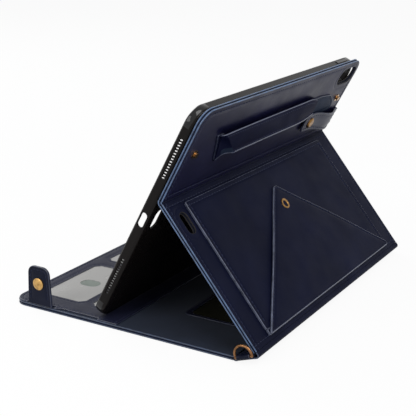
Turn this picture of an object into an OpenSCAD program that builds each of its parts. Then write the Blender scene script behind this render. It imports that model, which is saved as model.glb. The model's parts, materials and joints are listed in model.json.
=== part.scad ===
// Folding tablet case with a stand, a wallet panel, a hand strap and closure tabs.
// It stands propped: the base lies on the table and the shell leans back on the stand.
// X runs along the hinges, -Y is the screen side, +Y the back, and Z = 0 is the table.

/* [Tablet shell] */
// Length of the tablet shell along the hinges
shell_l = 250.6; // [220:0.2:300]
// Height of the shell across the hinges
shell_h = 181.5; // [160:0.5:230]
// Depth of the shell from its glue pad to its front lip
shell_d = 7.8; // [7:0.1:10]
// Thickness of the shell's side walls
shell_wall = 1.5; // [1.2:0.1:2.2]
// Thickness of the shell's back plate
shell_back_t = 1.4; // [1:0.1:2]
// Radius of the shell's corners
shell_corner_r = 13; // [9:0.5:16]

/* [Pose] */
// Angle of the shell above the table
shell_angle = 61.8; // [58:0.1:66]
// Angle of the stand panel above the table
stand_angle = 51; // [48:0.1:54]
// Angle of the spine above the table
spine_angle = 19.5; // [12:0.1:22]

/* [Leather panels] */
// How far every leather panel stands past the shell at each side
panel_margin = 0.7; // [0.3:0.1:3]
// Length of the base beyond the shell's height
base_spare = 10.5; // [6:0.5:18]
// Distance between the spine's two hinge lines
spine_len = 16.2; // [14:0.1:20]
// Distance from the spine's upper hinge line to the fold
stand_len = 117.6; // [114:0.1:120]
// Distance from the fold to the shell's bottom edge
fold_height = 111.15; // [108:0.05:114]
// How far the upper cover stands past the shell's top edge
cover_overlap = 2.5; // [1:0.5:4]
// Thickness of one leather sheet
leather_t = 1; // [0.8:0.1:1.3]
// Thickness of the stiffener boards
board_t = 1.2; // [1:0.1:1.6]
// Inset of a board's edge behind the leather's edge
board_inset = 0.6; // [0.3:0.1:1.5]
// Corner radius of the base and the upper cover
panel_corner_r = 11; // [6:0.5:14]

/* [Wallet] */
// Length of the wallet panel from the base's front edge
wallet_len = 96; // [90:0.5:98]
// Width of a card window
card_w = 70; // [60:0.5:72]
// Height of the front row of windows
front_row_h = 39; // [34:0.5:42]
// Height of the second row of windows
second_row_h = 14; // [10:0.5:17]
// Gap between windows
window_gap = 14; // [10:0.5:18]
// Distance from the wallet's near side to its first window
window_side = 19.5; // [18:0.5:24]

/* [Document pocket and flap] */
// Distance from the stand's side to the pocket
pocket_side = 20.5; // [19:0.5:28]
// Distance from the fold to the pocket's top edge
pocket_top = 6.5; // [5:0.5:12]
// Distance from the fold to the pocket's mouth
pocket_mouth = 108; // [104:0.5:109]
// Distance from the fold to the flap's hinge line
flap_hinge_s = 111.6; // [110:0.1:112]
// Distance from the fold to the flap's tip
flap_tip_s = 25; // [22:0.5:32]
// Thickness of the flap
flap_t = 1.6; // [1.2:0.1:2]

/* [Small parts] */
// Diameter of the brass snap caps
snap_d = 9.2; // [8:0.1:12]
// Width of a closure tab at its foot
tab_w = 22; // [18:0.5:24]
// Height of a closure tab above its hinge
tab_h = 30; // [26:0.5:34]
// Width of the patch at the hand strap's far end
strap_w = 20; // [16:0.5:22]
// Wire diameter of the D-ring
ring_wire_d = 1.9; // [1.6:0.1:2.4]
// Inside width of the D-ring
ring_inner_w = 11; // [10:0.5:12]

/* [Hidden] */
$fn = 64;
fine_fn = 32;
panel_t = 2 * leather_t + board_t;
panel_w = shell_l + 2 * panel_margin;
half_w = panel_w / 2;
base_len = shell_h + base_spare;
// Hinge axes: the spine's two lie this far inside the outer face, the fold's in the outer leather.
spine_axis_depth = 2.2;
fold_axis_depth = leather_t / 2;
base_end_gap = 1;
spine_end_gap = 1.8;
fold_gap = 1.2;
bend_fit = 0.03;
// Straight steps that follow a leather's bend.
bend_steps = 16;
// The base and the two spine hinges together are centred on Y = 0.
spine_reach = spine_len * cos(spine_angle);
case_reach = base_len + base_end_gap + spine_reach + spine_axis_depth;
front_y = -case_reach / 2;
rear_y = front_y + base_len;
base_axis_y = rear_y + base_end_gap;
stand_axis_y = base_axis_y + spine_reach;
stand_axis_z = spine_axis_depth + spine_len * sin(spine_angle);
// The fold axis: up the stand from the spine's upper hinge.
axis_step = spine_axis_depth - fold_axis_depth;
fold_y = stand_axis_y + axis_step * sin(stand_angle) - stand_len * cos(stand_angle);
fold_z = stand_axis_z + axis_step * cos(stand_angle) + stand_len * sin(stand_angle);
stand_turn = 180 - stand_angle - spine_angle;

// Upper cover frame: Y runs up the cover from the fold, Z points at the screen side.
cover_top = shell_h + cover_overlap - fold_height;
cover_outer = -fold_axis_depth;
cover_inner = cover_outer + panel_t;
pad_t = 0.4;
shell_back = cover_inner + pad_t;
shell_bottom = -fold_height;
shell_top = shell_bottom + shell_h;
shell_front = shell_back + shell_d;
shell_floor = shell_back + shell_back_t;
tray_edge_r = 2.5;
lip = 0.8;
lip_t = 0.7;
bumper_reach = shell_corner_r + 1.5;
bumper_proud = 0.3;
bumper_floor = shell_back + tray_edge_r + 0.6;
bay_l = shell_l - 2 * shell_wall;
bay_h = shell_h - 2 * shell_wall;
bay_corner_r = shell_corner_r - shell_wall;
wall_mid_z = shell_front - 3.75;

// Stand frame: Y runs down the stand from the fold, Z points outwards.
stand_outer = fold_axis_depth;
stand_inner = stand_outer - panel_t;
stand_foot = stand_len - spine_end_gap - bend_fit;

// Shell and cover cut-outs, in the upper cover frame.
camera_l = 30;
camera_h = 15;
camera_x = -half_w + 18;
camera_y = cover_top - 13.35;
connector_x = half_w - 12.8;
connector_s = 19.8;
connector_l = 16.5;
connector_w = 8;
shell_connector_y = shell_bottom + shell_h / 2;
port_l = 12;
port_w = 4.8;
slot_pitch = 2.2;
slot_count = 15;
slot_w = 1.2;
slot_len = 2.6;
slot_lean = 20;
slot_row_offset = 51.5;
volume_l = 18.5;
volume_x = -shell_l / 2 + 25.1;
power_y = shell_top - 27;
power_l = 12;
button_w = 2.4;
button_stand = 0.5;
button_fit = 0.25;
button_travel = 0.4;

// Wallet layers and windows, seen from above.
wallet_t = 1;
wallet_inset = 0.4;
film_t = 0.25;
backing_t = 0.25;
film_margin = 3;
film_fit = 0.1;
window_corner = 4;
first_row_s = 12.2;
row_gap = 7.3;
row_y = [front_y + first_row_s, front_y + first_row_s + front_row_h + row_gap];
row_h = [front_row_h, second_row_h];
note_w = panel_w - 2 * window_side - card_w - window_gap;
column_x = [half_w - window_side - card_w, -half_w + window_side];
column_w = [card_w, note_w];
thumb_x = 12;
thumb_y = 17;
mouth_s = 41.5;
mouth_y = front_y + mouth_s;
mouth_len = 37;
mouth_notch = 2.2;
mouth_slant = 4;
mouth_depth = window_side + card_w + 9;
mouth_h = 0.5;
rear_window_x = half_w - 45 - card_w;
rear_window_y = rear_y - 63;
rear_recess = 0.6;
rear_rim = 3;
rear_rim_t = 0.6;
rear_film_t = 0.3;

// Closure tabs: their hinge lines lie on the lining near the base's side edges.
tab_t = 2;
tab_bead_r = tab_t / 2;
tab_x = half_w - 0.6;
tab_slot_w = 7.2;
tab_y = front_y + 26.6;
tab_top_w = 19;
tab_corner_r = 6;
tab_hinge_z = panel_t + tab_bead_r;
tab_snap_z = tab_hinge_z + 16.6;
tab_slot_fit = 1.5;
snap_rise = 1.8;
snap_back = 1.2;
post_d = 4;

// Flap and its snap, in the stand frame above the outer face.
pocket_t = 1.8;
pocket_leather = 1;
pocket_hem = 4;
flap_lift = 0.2;
flap_base_z = pocket_t + flap_lift;
flap_axis_z = flap_base_z + flap_t / 2;
flap_snap_s = 40.5;
anchor_fit = 0.05;
hem_gap = 0.2;
flap_snap_d = 11;
pocket_w = panel_w - 2 * pocket_side;
flap_half_w = pocket_w / 2 - 0.5;

// Keeper tab, studs and strap, in the upper cover frame on its outer face.
anchor_leather = 1.2;
keeper_t = 1.8;
keeper_y = 23;
keeper_w = 16.5;
keeper_tip_x = -half_w + 65.5;
keeper_axis_x = -half_w + 1.2;
keeper_axis_z = keeper_t / 2 + anchor_leather + 0.2;
keeper_snap_x = keeper_tip_x - 10.5;
stud_x = half_w - 13;
stud_y = 37.4;
stud_d = 6.4;
stud_rise = 2.2;
strap_t = 2.2;
strap_gap = 1.8;
patch_y = 37;
strap_near_x = half_w - 33.5;
strap_far_x = -half_w + 64;
patch_near_x = strap_far_x + 4;
patch_far_x = -half_w + 17.6;
// The strap's outline on the cover: its two ends lie aslant, as worn straps do.
strap_root = [[strap_near_x, 48], [strap_near_x - 12.5, 24.5]];
strap_near = [[strap_near_x - 2.5, 50.5], [strap_near_x - 34, 28.5]];
strap_mid = [[7, 56], [10, 30.5]];
strap_far = [[strap_far_x + 14, 52], [strap_far_x + 17, 32]];
strap_end = [[strap_far_x, 46.5], [strap_far_x, 33.5]];

// D-ring and its loop, in the spine frame.
ring_y = spine_len / 2;
ring_loop_w = 8.4;
ring_loop_t = 0.9;
ring_fit = 0.05;
ring_loop_r = ring_wire_d / 2 + ring_fit + ring_loop_t;
ring_x = half_w + ring_loop_r + 0.1;
ring_lift = 1;
ring_leg = 1.6;
ring_bar_z = ring_loop_r - spine_axis_depth + ring_lift;
ring_pocket_fit = 0.15;

magnet_t = 1;
magnet_fit = 0.1;
prop_magnet_l = 40;
prop_magnet_w = 5;
prop_magnet_pitch = 56;
prop_magnet_inset = 15;
prop_magnet_y = front_y + wallet_len - prop_magnet_inset;
wake_magnet_d = 8;
wake_magnet_side = 30;
wake_magnet_front = 5.5;
wake_magnet_x = half_w - wake_magnet_side;
wake_magnet_y = front_y + wake_magnet_front;

// ---------------------------------------------------------------- frames
module in_spine_frame() {
    translate([0, base_axis_y, spine_axis_depth]) rotate([spine_angle, 0, 0]) children();
}

module in_stand_frame() {
    translate([0, fold_y, fold_z]) rotate([-stand_angle, 0, 0]) children();
}

// Stand frame with Z = 0 on the outer face.
module on_stand() {
    in_stand_frame() translate([0, 0, stand_outer]) children();
}

module in_cover_frame() {
    translate([0, fold_y, fold_z]) rotate([shell_angle, 0, 0]) children();
}

// Upper cover frame with Z = 0 on the outer face and Z pointing outwards.
module on_cover() {
    in_cover_frame() translate([0, 0, cover_outer]) mirror([0, 0, 1]) children();
}

// ---------------------------------------------------------------- shared shapes
// Flat sheet from x1,y1 to x2,y2, with radius r1 on its corners at y1 and r2 on those at y2.
module sheet(x1, y1, x2, y2, z, t, r1, r2) {
    translate([0, 0, z]) linear_extrude(t) union() {
        translate([x1 + max(r1, r2), y1]) square([x2 - x1 - 2 * max(r1, r2), y2 - y1]);
        translate([x1, y1 + r1]) square([x2 - x1, y2 - y1 - r1 - r2]);
        for (x = [x1 + r1, x2 - r1]) translate([x, y1 + r1]) circle(r = r1);
        for (x = [x1 + r2, x2 - r2]) translate([x, y2 - r2]) circle(r = r2);
        if (r1 > r2) for (x = [x1 + r2, x2 - r1]) translate([x, y2 - r2]) square([r1 - r2, r2]);
        if (r2 > r1) for (x = [x1 + r1, x2 - r2]) translate([x, y1]) square([r2 - r1, r1]);
    }
}

// Slot with round ends along X.
module slot_x(length, width) {
    square([length - width, width], center = true);
    for (side = [-1, 1]) translate([side * (length - width) / 2, 0]) circle(d = width);
}

// Window outline with cut corners.
module window_outline(x, y, w, h, cut) {
    polygon([[x + cut, y], [x + w - cut, y], [x + w, y + cut], [x + w, y + h - cut],
        [x + w - cut, y + h], [x + cut, y + h], [x, y + h - cut], [x, y + cut]]);
}

// Points of an arc about the origin, from angle a1 to a2.
function arc_points(r, a1, a2) =
    [for (i = [0:bend_steps]) let (a = a1 + (a2 - a1) * i / bend_steps) [r * cos(a), r * sin(a)]];

// Point on the flat that meets an arc at angle a, at a distance along it.
function flat_point(r, a, distance) = [r * cos(a) - distance * sin(a), r * sin(a) + distance * cos(a)];

// Leather bent round an axis along X, from angle a1 to a2 measured from +Y towards +Z,
// with a flat of the given length before and after the bend.
module leather_bend(r_in, r_out, a1, a2, flat) {
    rotate([90, 0, 90]) linear_extrude(panel_w, center = true) polygon(concat(
        [flat_point(r_out, a1, -flat)], arc_points(r_out, a1, a2), [flat_point(r_out, a2, flat)],
        [flat_point(r_in, a2, flat)], arc_points(r_in, a2, a1), [flat_point(r_in, a1, -flat)]));
}

// Brass cap: a low dome with a rim, on a socket that comes through the leather.
// Z = 0 is the face that the cap sits on and leather is the leather's thickness below it.
module snap_cap(d, rise, leather, back) {
    cylinder(d = d, h = rise / 2);
    translate([0, 0, rise / 2]) intersection() {
        cylinder(d = d, h = rise / 2);
        translate([0, 0, rise / 2 - dome_r(d, rise / 2)]) sphere(r = dome_r(d, rise / 2), $fn = 96);
    }
    translate([0, 0, -leather]) cylinder(d = post_d, h = leather);
    translate([0, 0, -leather - back]) cylinder(d = d - 1.6, h = back);
}

// Radius of the sphere whose cap has width d and height h.
function dome_r(d, h) = (d * d / 4 + h * h) / (2 * h);

module snap_hole(leather) {
    translate([0, 0, -leather - 1]) cylinder(d = post_d, h = leather + 2);
}

// ---------------------------------------------------------------- base
module base_sheet(z, t, inset) {
    r = panel_corner_r - inset;
    sheet(-half_w + inset, front_y + inset, half_w - inset, rear_y - inset, z, t, r, 1.5);
}

module prop_magnet_row(fit) {
    for (i = [-1.5:1.5]) translate([i * prop_magnet_pitch, prop_magnet_y, leather_t])
        translate([-prop_magnet_l / 2 - fit, -prop_magnet_w / 2 - fit, 0])
            cube([prop_magnet_l + 2 * fit, prop_magnet_w + 2 * fit, magnet_t + fit]);
}

module wake_magnet_pair(fit) {
    for (side = [-1, 1]) translate([side * wake_magnet_x, wake_magnet_y, leather_t])
        cylinder(d = wake_magnet_d + 2 * fit, h = magnet_t + fit);
}

module base_outer_leather() {
    color("midnightblue") base_sheet(0, leather_t, 0);
}

module base_board() {
    color("dimgray") difference() {
        base_sheet(leather_t, board_t, board_inset);
        prop_magnet_row(magnet_fit);
        wake_magnet_pair(magnet_fit);
    }
}

module base_lining() {
    color("midnightblue") difference() {
        base_sheet(leather_t + board_t, leather_t, 0);
        translate([0, 0, panel_t - rear_recess]) linear_extrude(1) rear_window_outline(0);
    }
}

module prop_magnets() {
    color("silver") prop_magnet_row(0);
}

module wake_magnets() {
    color("silver") wake_magnet_pair(0);
}

// ---------------------------------------------------------------- wallet
// One child per window, with its place passed in special variables.
module each_window() {
    for (row = [0, 1]) for (column = [0, 1]) {
        $wx = column_x[column];
        $wy = row_y[row];
        $ww = column_w[column];
        $wh = row_h[row];
        $row = row;
        children();
    }
}

// Step in the wallet's near edge, where the pocket's mouth opens.
module mouth_cut() {
    bottom_x = half_w - wallet_inset - mouth_notch;
    translate([0, 0, panel_t - 1]) linear_extrude(2 + wallet_t)
        polygon([[half_w, mouth_y], [bottom_x, mouth_y + mouth_slant],
            [bottom_x, mouth_y + mouth_len], [half_w, mouth_y + mouth_len]]);
}

module wallet_panel() {
    color("midnightblue") difference() {
        sheet(-half_w + wallet_inset, front_y + wallet_inset, half_w - wallet_inset,
            front_y + wallet_len, panel_t, wallet_t, panel_corner_r - wallet_inset, 1);
        each_window() translate([0, 0, panel_t - 1]) linear_extrude(4)
            window_outline($wx, $wy, $ww, $wh, window_corner);
        each_window() translate([$wx - film_margin, $wy - film_margin, panel_t - 1])
            cube([$ww + 2 * film_margin, $wh + 2 * film_margin, 1 + backing_t + film_t]);
        translate([half_w - mouth_depth, mouth_y, panel_t - 1])
            cube([mouth_depth + 1, mouth_len, 1 + mouth_h]);
        for (side = [-1, 1]) translate([side * half_w, tab_y, panel_t])
            cube([tab_slot_w, tab_w + 2 * tab_slot_fit, 4 * wallet_t], center = true);
        mouth_cut();
    }
}

// Sheet behind one window, a little smaller than its recess.
module film_outline() {
    side = film_margin - film_fit;
    translate([$wx - side, $wy - side]) square([$ww + 2 * side, $wh + 2 * side]);
}

module wallet_backing() {
    color("lightgray") each_window()
        translate([0, 0, panel_t]) linear_extrude(backing_t) film_outline();
}

module id_window_films() {
    color("gainsboro") each_window() translate([0, 0, panel_t + backing_t]) linear_extrude(film_t)
        difference() {
            film_outline();
            if ($row == 0) translate([$wx + $ww / 2, $wy + $wh / 2]) rotate([0, 0, 90])
                slot_x(thumb_y, thumb_x);
        }
}

module rear_window_outline(margin) {
    window_outline(rear_window_x - margin, rear_window_y - margin, card_w + 2 * margin,
        front_row_h + 2 * margin, window_corner + margin / 3);
}

module rear_window_frame() {
    color("midnightblue") translate([0, 0, panel_t]) linear_extrude(rear_rim_t) difference() {
        rear_window_outline(rear_rim);
        rear_window_outline(0);
    }
}

module rear_window_film() {
    color("darkolivegreen") translate([0, 0, panel_t - rear_recess]) linear_extrude(rear_film_t)
        rear_window_outline(0);
}

// ---------------------------------------------------------------- closure tabs
// Near tab: it stands up from a round bead that lies on the lining.
module closure_tab() {
    translate([tab_x, tab_y, tab_hinge_z]) difference() {
        union() {
            rotate([90, 0, 0]) cylinder(r = tab_bead_r, h = tab_w, center = true);
            rotate([90, 0, 90]) linear_extrude(tab_t, center = true) tab_outline();
        }
        translate([tab_bead_r, 0, tab_snap_z - tab_hinge_z]) rotate([0, 90, 0]) snap_hole(tab_t);
    }
}

module tab_outline() {
    shoulder = tab_h - tab_corner_r;
    polygon([[-tab_w / 2, 0], [tab_w / 2, 0], [tab_top_w / 2, shoulder], [-tab_top_w / 2, shoulder]]);
    translate([-tab_top_w / 2 + tab_corner_r, shoulder]) square([tab_top_w - 2 * tab_corner_r, tab_corner_r]);
    for (side = [-1, 1]) translate([side * (tab_top_w / 2 - tab_corner_r), shoulder]) circle(r = tab_corner_r);
}

module tab_snap() {
    translate([tab_x + tab_bead_r, tab_y, tab_snap_z]) rotate([0, 90, 0])
        snap_cap(snap_d, snap_rise, tab_t, snap_back);
}

module near_closure_tab() {
    color("midnightblue") closure_tab();
}

module far_closure_tab() {
    color("midnightblue") mirror([1, 0, 0]) closure_tab();
}

module near_tab_snap() {
    color("goldenrod") tab_snap();
}

module far_tab_snap() {
    color("goldenrod") mirror([1, 0, 0]) tab_snap();
}

// ---------------------------------------------------------------- spine
module base_hinge_leather() {
    color("midnightblue") translate([0, base_axis_y, spine_axis_depth])
        leather_bend(spine_axis_depth - leather_t, spine_axis_depth, -90, -90 + spine_angle, base_end_gap);
}

module spine_slab(z, t, inset) {
    translate([-half_w + inset, base_end_gap + bend_fit, -spine_axis_depth + z])
        cube([panel_w - 2 * inset, spine_len - base_end_gap - bend_fit - spine_end_gap, t]);
}

module spine_outer_leather() {
    color("midnightblue") in_spine_frame() spine_slab(0, leather_t, 0);
}

// Space for a D-ring's loop at the near end of the spine.
module ring_pocket() {
    translate([half_w - 11, ring_y - ring_loop_w / 2 - ring_pocket_fit, -spine_axis_depth + leather_t])
        cube([20, ring_loop_w + 2 * ring_pocket_fit, 20]);
}

module spine_board() {
    color("dimgray") in_spine_frame() difference() {
        spine_slab(leather_t, board_t, board_inset);
        ring_pocket();
        mirror([1, 0, 0]) ring_pocket();
    }
}

module spine_lining() {
    color("midnightblue") in_spine_frame() difference() {
        spine_slab(leather_t + board_t, leather_t, 0);
        ring_pocket();
        mirror([1, 0, 0]) ring_pocket();
    }
}

module spine_hinge_leather() {
    color("midnightblue") translate([0, stand_axis_y, stand_axis_z])
        leather_bend(spine_axis_depth - leather_t, spine_axis_depth,
            -90 + spine_angle, 90 - stand_angle, spine_end_gap);
}

// Leather strip folded round the ring's bar and sewn into the spine.
module ring_loop() {
    floor_z = -spine_axis_depth + leather_t;
    in_spine_frame() translate([0, ring_y, 0]) difference() {
        union() {
            translate([half_w - 10.8, -ring_loop_w / 2, floor_z])
                cube([10.8 + ring_loop_r, ring_loop_w, panel_t - leather_t]);
            translate([ring_x, 0, ring_bar_z]) rotate([90, 0, 0])
                cylinder(r = ring_loop_r, h = ring_loop_w, center = true);
        }
        translate([ring_x, 0, ring_bar_z]) rotate([90, 0, 0])
            cylinder(r = ring_wire_d / 2 + ring_fit, h = ring_loop_w + 2, center = true);
    }
}

// Half-round wire ring, standing up from its bar.
module ring_wire() {
    ring_r = (ring_inner_w + ring_wire_d) / 2;
    in_spine_frame() translate([ring_x, ring_y, ring_bar_z]) {
        rotate([90, 0, 0]) cylinder(d = ring_wire_d, h = 2 * ring_r, center = true);
        for (side = [-1, 1]) translate([0, side * ring_r, 0]) {
            sphere(d = ring_wire_d);
            cylinder(d = ring_wire_d, h = ring_leg);
        }
        translate([0, 0, ring_leg]) rotate([0, 90, 0]) rotate([0, 0, 90]) rotate_extrude(angle = 180)
            translate([ring_r, 0]) circle(d = ring_wire_d, $fn = fine_fn);
    }
}

module near_ring_loop() {
    color("midnightblue") ring_loop();
}

module far_ring_loop() {
    color("midnightblue") mirror([1, 0, 0]) ring_loop();
}

module near_d_ring() {
    color("goldenrod") ring_wire();
}

module far_d_ring() {
    color("goldenrod") mirror([1, 0, 0]) ring_wire();
}

// ---------------------------------------------------------------- stand
module stand_slab(z, t, inset) {
    difference() {
        translate([-half_w + inset, fold_gap + inset, stand_inner + z])
            cube([panel_w - 2 * inset, stand_foot - fold_gap - 2 * inset, t]);
        translate([connector_x, connector_s, stand_inner - 1]) rotate([0, 0, 90])
            linear_extrude(panel_t + 2) slot_x(connector_l + 2 * inset, connector_w + 2 * inset);
    }
}

module stand_outer_leather() {
    color("midnightblue") in_stand_frame() stand_slab(leather_t + board_t, leather_t, 0);
}

module stand_board() {
    color("dimgray") in_stand_frame() stand_slab(leather_t, board_t, board_inset);
}

module stand_lining() {
    color("midnightblue") in_stand_frame() stand_slab(0, leather_t, 0);
}

// Sewn pocket: its front stands off the stand and it opens towards the spine.
module document_pocket() {
    color("midnightblue") on_stand() difference() {
        sheet(-pocket_w / 2, pocket_top, pocket_w / 2, pocket_mouth, 0, pocket_t, 1.5, 1);
        translate([-pocket_w / 2 + pocket_hem, pocket_top + pocket_hem, -1])
            cube([pocket_w - 2 * pocket_hem, pocket_mouth, 1 + pocket_t - pocket_leather]);
        translate([0, flap_snap_s, pocket_t]) snap_hole(pocket_leather);
    }
}

module pocket_stud() {
    color("goldenrod") on_stand() translate([0, flap_snap_s, 0]) {
        translate([0, 0, pocket_t - pocket_leather]) cylinder(d = post_d, h = pocket_leather + 1.4);
        translate([0, 0, pocket_t - pocket_leather - 0.5]) cylinder(d = 7, h = 0.5);
    }
}

// Hem under the flap's root, sewn to the stand below the pocket's mouth.
module flap_anchor() {
    hem_start = pocket_mouth + hem_gap;
    color("midnightblue") on_stand() translate([-flap_half_w, hem_start, 0])
        cube([2 * flap_half_w, flap_hinge_s + flap_t / 2 - hem_start, flap_base_z - anchor_fit]);
}

module envelope_flap() {
    tip_r = 5;
    foot_r = 2.5;
    color("midnightblue") on_stand() difference() {
        union() {
            translate([0, flap_hinge_s, flap_axis_z]) rotate([0, 90, 0])
                cylinder(d = flap_t, h = 2 * (flap_half_w - 3), center = true);
            translate([0, 0, flap_base_z]) linear_extrude(flap_t) hull() {
                translate([0, flap_tip_s + tip_r]) circle(r = tip_r, $fn = fine_fn);
                for (side = [-1, 1]) translate([side * (flap_half_w - foot_r), flap_hinge_s - foot_r])
                    circle(r = foot_r, $fn = fine_fn);
            }
        }
        translate([0, flap_snap_s, flap_base_z - 1]) cylinder(d = 8, h = flap_t + 2);
    }
}

// Ring and cap through the flap; its socket takes the pocket's stud.
module flap_snap() {
    top = flap_base_z + flap_t;
    color("goldenrod") on_stand() translate([0, flap_snap_s, 0]) difference() {
        union() {
            translate([0, 0, flap_base_z]) cylinder(d = 8, h = flap_t);
            translate([0, 0, top]) cylinder(d = flap_snap_d, h = 0.5);
            translate([0, 0, top + 0.5]) difference() {
                cylinder(d1 = flap_snap_d, d2 = flap_snap_d - 1.4, h = 0.7);
                translate([0, 0, 0.3]) cylinder(d = flap_snap_d - 4, h = 1);
            }
        }
        translate([0, 0, flap_base_z - 1]) cylinder(d = post_d + 0.5, h = 1 + 1.4);
    }
}

// ---------------------------------------------------------------- fold
module fold_hinge_leather() {
    color("midnightblue") union() {
        in_stand_frame() translate([-half_w, 0, stand_outer - leather_t])
            cube([panel_w, fold_gap, leather_t]);
        in_cover_frame() translate([-half_w, 0, cover_outer])
            cube([panel_w, fold_gap, leather_t]);
        translate([0, fold_y, fold_z]) rotate([0, 90, 0])
            cylinder(d = leather_t, h = panel_w, center = true);
    }
}

// ---------------------------------------------------------------- upper cover
module camera_cut(margin) {
    translate([camera_x, camera_y]) slot_x(camera_l + 2 * margin, camera_h + 2 * margin);
}

module cover_sheet(z, t, inset) {
    difference() {
        sheet(-half_w + inset, fold_gap + bend_fit + inset, half_w - inset, cover_top - inset,
            cover_outer + z, t, 1, panel_corner_r - inset);
        translate([0, 0, cover_outer - 1]) linear_extrude(panel_t + 2) camera_cut(inset);
    }
}

module upper_outer_leather() {
    color("midnightblue") difference() {
        in_cover_frame() cover_sheet(0, leather_t, 0);
        on_cover() for (side = [-1, 1]) translate([side * stud_x, stud_y, 0]) snap_hole(leather_t);
        on_cover() translate([keeper_snap_x, keeper_y, 0]) snap_hole(leather_t);
    }
}

module upper_board() {
    color("dimgray") in_cover_frame() cover_sheet(leather_t, board_t, board_inset);
}

module upper_lining() {
    color("midnightblue") in_cover_frame() cover_sheet(leather_t + board_t, leather_t, 0);
}

// Stud with a foot, a post through the outer leather and a round head.
module cover_stud(rise) {
    translate([0, 0, -leather_t]) cylinder(d = post_d, h = leather_t);
    cylinder(d = stud_d, h = 0.6);
    translate([0, 0, 0.6]) cylinder(d = post_d - 0.8, h = rise - 1.2);
    translate([0, 0, rise - 0.9]) cylinder(d1 = post_d - 0.4, d2 = post_d, h = 0.3);
    translate([0, 0, rise - 0.6]) cylinder(d = post_d, h = 0.6);
}

module closure_studs() {
    color("goldenrod") on_cover() for (side = [-1, 1])
        translate([side * stud_x, stud_y, 0]) cover_stud(stud_rise);
}

module keeper_stud() {
    color("goldenrod") on_cover() translate([keeper_snap_x, keeper_y, 0]) cover_stud(1.8);
}

// Keeper tab: it comes round the far edge on a bead and lies over the cover.
module keeper_tab() {
    tip_r = 5;
    color("midnightblue") on_cover() difference() {
        union() {
            translate([keeper_axis_x, keeper_y, keeper_axis_z]) rotate([90, 0, 0])
                cylinder(r = keeper_axis_z, h = keeper_w, center = true);
            translate([0, 0, keeper_axis_z - keeper_t / 2]) linear_extrude(keeper_t) {
                translate([keeper_axis_x, keeper_y - keeper_w / 2])
                    square([keeper_tip_x - keeper_axis_x - tip_r, keeper_w]);
                translate([keeper_tip_x - tip_r - 0.1, keeper_y - keeper_w / 2 + tip_r])
                    square([tip_r + 0.1, keeper_w - 2 * tip_r]);
                for (side = [-1, 1]) translate([keeper_tip_x - tip_r, keeper_y + side * (keeper_w / 2 - tip_r)])
                    circle(r = tip_r);
            }
        }
        translate([keeper_snap_x, keeper_y, 0]) cylinder(d = 7, h = 8);
    }
}

module keeper_snap() {
    base_z = keeper_axis_z - keeper_t / 2;
    color("goldenrod") on_cover() translate([keeper_snap_x, keeper_y, 0]) difference() {
        union() {
            translate([0, 0, base_z]) cylinder(d = 7, h = keeper_t);
            translate([0, 0, base_z + keeper_t]) cylinder(d = snap_d, h = 0.7);
            translate([0, 0, base_z + keeper_t + 0.7]) cylinder(d1 = snap_d, d2 = snap_d - 2.4, h = 0.8);
        }
        translate([0, 0, base_z - 1]) cylinder(d = post_d + 0.5, h = 1 + 0.8);
    }
}

// ---------------------------------------------------------------- hand strap
// Strip under the strap's near end, sewn to the cover along the strap's root.
module strap_near_anchor() {
    reach = [-8, 0];
    color("midnightblue") on_cover() linear_extrude(anchor_leather)
        polygon([strap_root[0], strap_root[1], strap_root[1] + reach, strap_root[0] + reach]);
}

// Flat patch with a round end that holds the strap's far end.
module strap_far_anchor() {
    color("midnightblue") on_cover() linear_extrude(anchor_leather) {
        translate([patch_far_x + strap_w / 2, patch_y - strap_w / 2])
            square([patch_near_x - patch_far_x - strap_w / 2, strap_w]);
        translate([patch_far_x + strap_w / 2, patch_y]) circle(d = strap_w);
    }
}

// Thin bar between two points of the cover, from height z to z + t.
module strap_bar(ends, z, t) {
    for (p = ends) translate([p[0], p[1], z]) cylinder(d = 1, h = t, $fn = fine_fn);
}

// The strap stands off the cover, wider in its middle, and comes down to it at both ends.
module hand_strap() {
    color("midnightblue") on_cover() {
        translate([0, 0, strap_gap]) linear_extrude(strap_t)
            polygon([strap_near[0], strap_mid[0], strap_far[0], strap_far[1], strap_mid[1], strap_near[1]]);
        hull() {
            strap_bar(strap_near, strap_gap, strap_t);
            strap_bar(strap_root, anchor_leather, 1);
        }
        hull() {
            strap_bar(strap_far, strap_gap, strap_t);
            strap_bar(strap_end, anchor_leather, strap_t);
        }
    }
}

// ---------------------------------------------------------------- tablet shell
module bonding_pad() {
    color("black") in_cover_frame() difference() {
        sheet(-half_w + 12, 6, half_w - 12, cover_top - 12, cover_inner, pad_t, 4, 4);
        translate([0, 0, cover_inner - 1]) linear_extrude(pad_t + 2) camera_cut(4);
    }
}

// Outside of the tray: its back edges are rounded.
module tray_body() {
    r = shell_corner_r;
    hull() {
        for (x = [-shell_l / 2 + r, shell_l / 2 - r]) for (y = [shell_bottom + r, shell_top - r]) {
            translate([x, y, shell_back + tray_edge_r]) cylinder(r = r, h = shell_d - tray_edge_r - 1);
            translate([x, y, shell_back + tray_edge_r]) rotate_extrude($fn = 48)
                translate([r - tray_edge_r, 0]) intersection() {
                    circle(r = tray_edge_r, $fn = fine_fn);
                    translate([0, -tray_edge_r]) square([tray_edge_r, tray_edge_r]);
                }
            translate([x, y, shell_front - 1]) cylinder(r1 = r, r2 = r - 0.8, h = 1);
        }
    }
}

// Space for the tablet, with a lip left round its front.
module tablet_bay() {
    sheet(-bay_l / 2, shell_bottom + shell_wall, bay_l / 2, shell_top - shell_wall,
        shell_floor, shell_d - shell_back_t - lip_t, bay_corner_r, bay_corner_r);
    sheet(-bay_l / 2 + lip, shell_bottom + shell_wall + lip, bay_l / 2 - lip,
        shell_top - shell_wall - lip, shell_floor, shell_d, bay_corner_r - lip, bay_corner_r - lip);
}

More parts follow.
